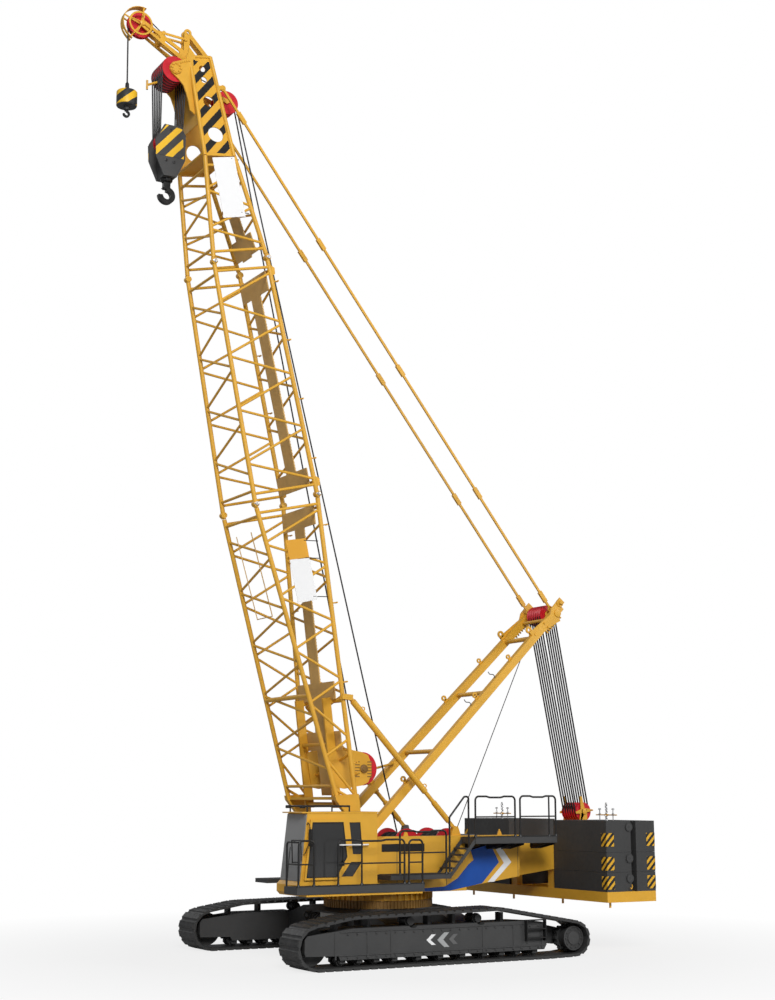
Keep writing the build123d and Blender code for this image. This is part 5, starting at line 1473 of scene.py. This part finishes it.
# ---------------------------------------------------------------- mast
@dataclass
class MastTrim:
    """Rope sheaves, ring lugs, rope comb, hook wires and head bolts of the mast, and the rods beside it."""

    foot: Flat = (0.95, 2.72)
    run: Flat = (-0.7166, 0.6974)
    leg_top: float = 8.56
    leg_spread: Flat = (0.90, 0.62)
    lug_foot: float = -0.09
    comb_teeth: int = 8

    def at(self, distance: float, out: float = 0.0) -> Flat:
        """A point on the legs' centre line at a distance from the foot, moved towards the back by out."""
        return (self.foot[0] + self.run[0] * distance - self.run[1] * out,
                self.foot[1] + self.run[1] * distance + self.run[0] * out)

    def leg_y(self, distance: float) -> float:
        """How far a leg is from the centre plane at a distance from the foot."""
        return self.leg_spread[0] - (self.leg_spread[0] - self.leg_spread[1]) * distance / self.leg_top

    def lugs(self) -> None:
        """Rings on splayed feet, standing on the legs' upper side."""
        form = Shape()
        for distance, size in ((1.85, 0.85), (4.87, 0.85), (6.35, 0.75), (7.35, 1.1)):
            foot = [self.at(distance + along * size, self.lug_foot - out * size)
                    for along, out in ((-0.10, 0), (0.10, 0), (0.045, 0.09), (-0.045, 0.09))]
            x, z = self.at(distance, self.lug_foot - 0.14 * size)
            for side in SIDES:
                y = side * self.leg_y(distance)
                form.plate(foot, about(y, 0.02))
                form.hoop((x, y - 0.02, z), washer(0.04, 0.035 * size, 0.085 * size), 20)
        form.piece("mast_lugs", YELLOW, MAST, bevel=0.003)

    def sheaves(self) -> None:
        """Six red sheaves on their axle between the head plates."""
        x, z = MAST_AXLE
        wheels, axle = Shape(), Shape()
        for y in spans(0.31, 6):
            wheels.turned((x, y - 0.047, z), ACROSS, [(0, 0.262), (0.016, 0.262), (0.047, 0.225), (0.078, 0.262),
                                                      (0.094, 0.262)], 36)
        wheels.piece("mast_rope_sheaves", RED, MAST, hides=("mast_sheaves",))
        axle.turned((x, 0.725, z), ACROSS, [(0, 0.10), (0.03, 0.10), (0.035, 0.06)], 24)
        axle.turned((x, 0.33, z), ACROSS, [(0, 0.12), (0.05, 0.10)], 24)
        axle.mirrored().turned((x, -0.70, z), ACROSS, [(0, 0.05), (1.40, 0.05)], 20)
        axle.piece("mast_axle", YELLOW, MAST, bevel=0.003)

    def fittings(self) -> None:
        """Rope comb and hook wires of the legs."""
        tooth = Shape().block((-0.015, 0.015), (-0.02, 0.02), (-0.05, 0.03))
        comb = Copies("mast_rope_comb", tooth, YELLOW, MAST)
        for side in SIDES:
            for k in range(self.comb_teeth):
                x, z = self.at(7.72 + 0.085 * k, 0.145)
                comb.put((x, side * 0.712, z), (0, 45, 0))
        comb.build()
        wires = Shape()
        for distance in (4.61, 5.66):
            (x, z), y = self.at(distance, -0.10), self.leg_y(distance)
            path = [(x, y, z), (x + 0.05, y, z + 0.07), (x + 0.16, y, z + 0.08), (x + 0.21, y, z + 0.14)]
            wires.tube(smooth_path(path, 4), 0.011, 6)
        wires.piece("mast_hook_wires", BLACK, MAST)

    def rods(self) -> None:
        """Rings on the backstops and the winch's stay rod."""
        rings = Shape()
        for x, z in ((1.095, 5.807), (-0.627, 3.992)):
            for y in (1.2, -1.2):
                rings.hoop((x, y - 0.011, z), washer(0.022, 0.036, 0.056), 16)
                rings.tube([(x + 0.01, y, z - 0.04), (x + 0.04, y, z - 0.08)], 0.012, 6)
        rings.piece("backstop_rings", YELLOW, BACKSTOPS)
        stay = Shape().tube([(1.04, 0.75, 4.28), (-0.84, -0.72, 4.565)], 0.030)
        stay.tube([(-0.82, -0.72, 4.52), (-0.82, -0.72, 4.62)], 0.035).piece("winch_stay_rod", YELLOW, BOOM)

    def build(self) -> None:
        """Makes all of it."""
        self.sheaves()
        self.lugs()
        self.fittings()
        self.rods()
        heads = Copies("mast_bolts", bolt(0.028, 0.03), YELLOW, MAST)
        for x, y, z, size in ((-4.60, 0.73, 8.22, 1.0), (-4.72, 0.73, 8.12, 1.0), (-4.30, 0.73, 7.90, 1.0),
                              (-5.111, 0.755, 8.779, 1.8)):
            heads.outwards(x, y, z, size)
        heads.build()


# ---------------------------------------------------------------- deck
@dataclass
class DeckTrim:
    """Machinery between the housings: the lower block's lever, small posts, drum bolts and hoses."""

    lever_middle: Flat = (-6.0, 3.378)
    arms: tuple[Flat, ...] = ((0.087, 0.37), (0.03, 0.36), (-0.05, 0.06), (-0.24, 0.035), (-0.275, 0.01),
                              (-0.24, -0.03), (-0.06, -0.06), (0.06, -0.27), (0.12, -0.27), (0.09, -0.08),
                              (0.23, -0.08), (0.23, -0.03), (0.07, 0.03))

    def lever(self) -> None:
        """The four-armed lever on the lower block's sides."""
        x, z = self.lever_middle
        form = Shape().plate([(x + dx, z + dz) for dx, dz in self.arms], (0.345, 0.37))
        form.turned((TAIL_AXLE[0], 0.33, TAIL_AXLE[1]), ACROSS, [(0, 0.07), (0.06, 0.07), (0.07, 0.05)], 24)
        form.mirrored().tube([(-6.255, 0.28, 3.385), (-6.255, 0.44, 3.385)], 0.022, 8)
        form.piece("lower_block_lever", YELLOW, UPPER, bevel=0.003)

    def build(self) -> None:
        """Makes all of it."""
        self.lever()
        posts, hoses = Shape(), Shape()
        for x in (-0.10, -2.80):
            posts.plate([(x - 0.07, 2.79), (x + 0.07, 2.79), (x + 0.025, 2.90), (x - 0.025, 2.90)], (1.16, 1.20))
            posts.turned((x, 1.18, 2.89), UP, [(0, 0.024), (0.04, 0.024), (0.05, 0.012)], 12)
        posts.piece("deck_posts", YELLOW, UPPER, bevel=0.003)
        bolts = Copies("drum_bolts", bolt(height=0.02), RED, UPPER)
        for x, z in circle(FRONT_DRUM, 0.10, 10) + circle(REAR_DRUM, 0.10, 10):
            bolts.put((x, 0.655, z), (-90, 0, 0))
        bolts.build()
        for y in (1.02 + 0.03 * i for i in range(5)):
            path = [(1.55, y - 0.4, 2.05), (1.62, y - 0.3, 2.5), (1.30, y - 0.2, 2.72), (0.95, y, 2.75),
                    (0.70, y, 2.70)]
            hoses.tube(smooth_path(path, 5), 0.018, 8)
        hoses.piece("deck_hoses", CABLE, UPPER)


def dress_frame() -> None:
    """Gives every node of the frame its own finish."""
    slots = {part["node"]: part["material_slot"] for part in frame["record"]["subparts"]}
    for name, piece in frame["nodes"].items():
        dress(piece, FINISH_OF_NODE.get(name) or FINISH_OF_SLOT[slots[name]], smooth=False)
        for polygon in piece.data.polygons:
            polygon.material_index = 0


def main() -> None:
    """Builds the studio and every sub-assembly in order."""
    logging.basicConfig(level=logging.INFO, format="%(message)s")
    Studio().build()
    dress_frame()
    for part in (TrackTrim(), RingTrim(), Flank(), WalkwayTrim(), CabTrim(), BallastTrim(), DeckTrim(), BoomTrim(),
                 Signs(), HookTrim(), MastTrim(), Rigging()):
        part.build()
        LOG.info("%s done", type(part).__name__)


if __name__ == "__main__":
    main()
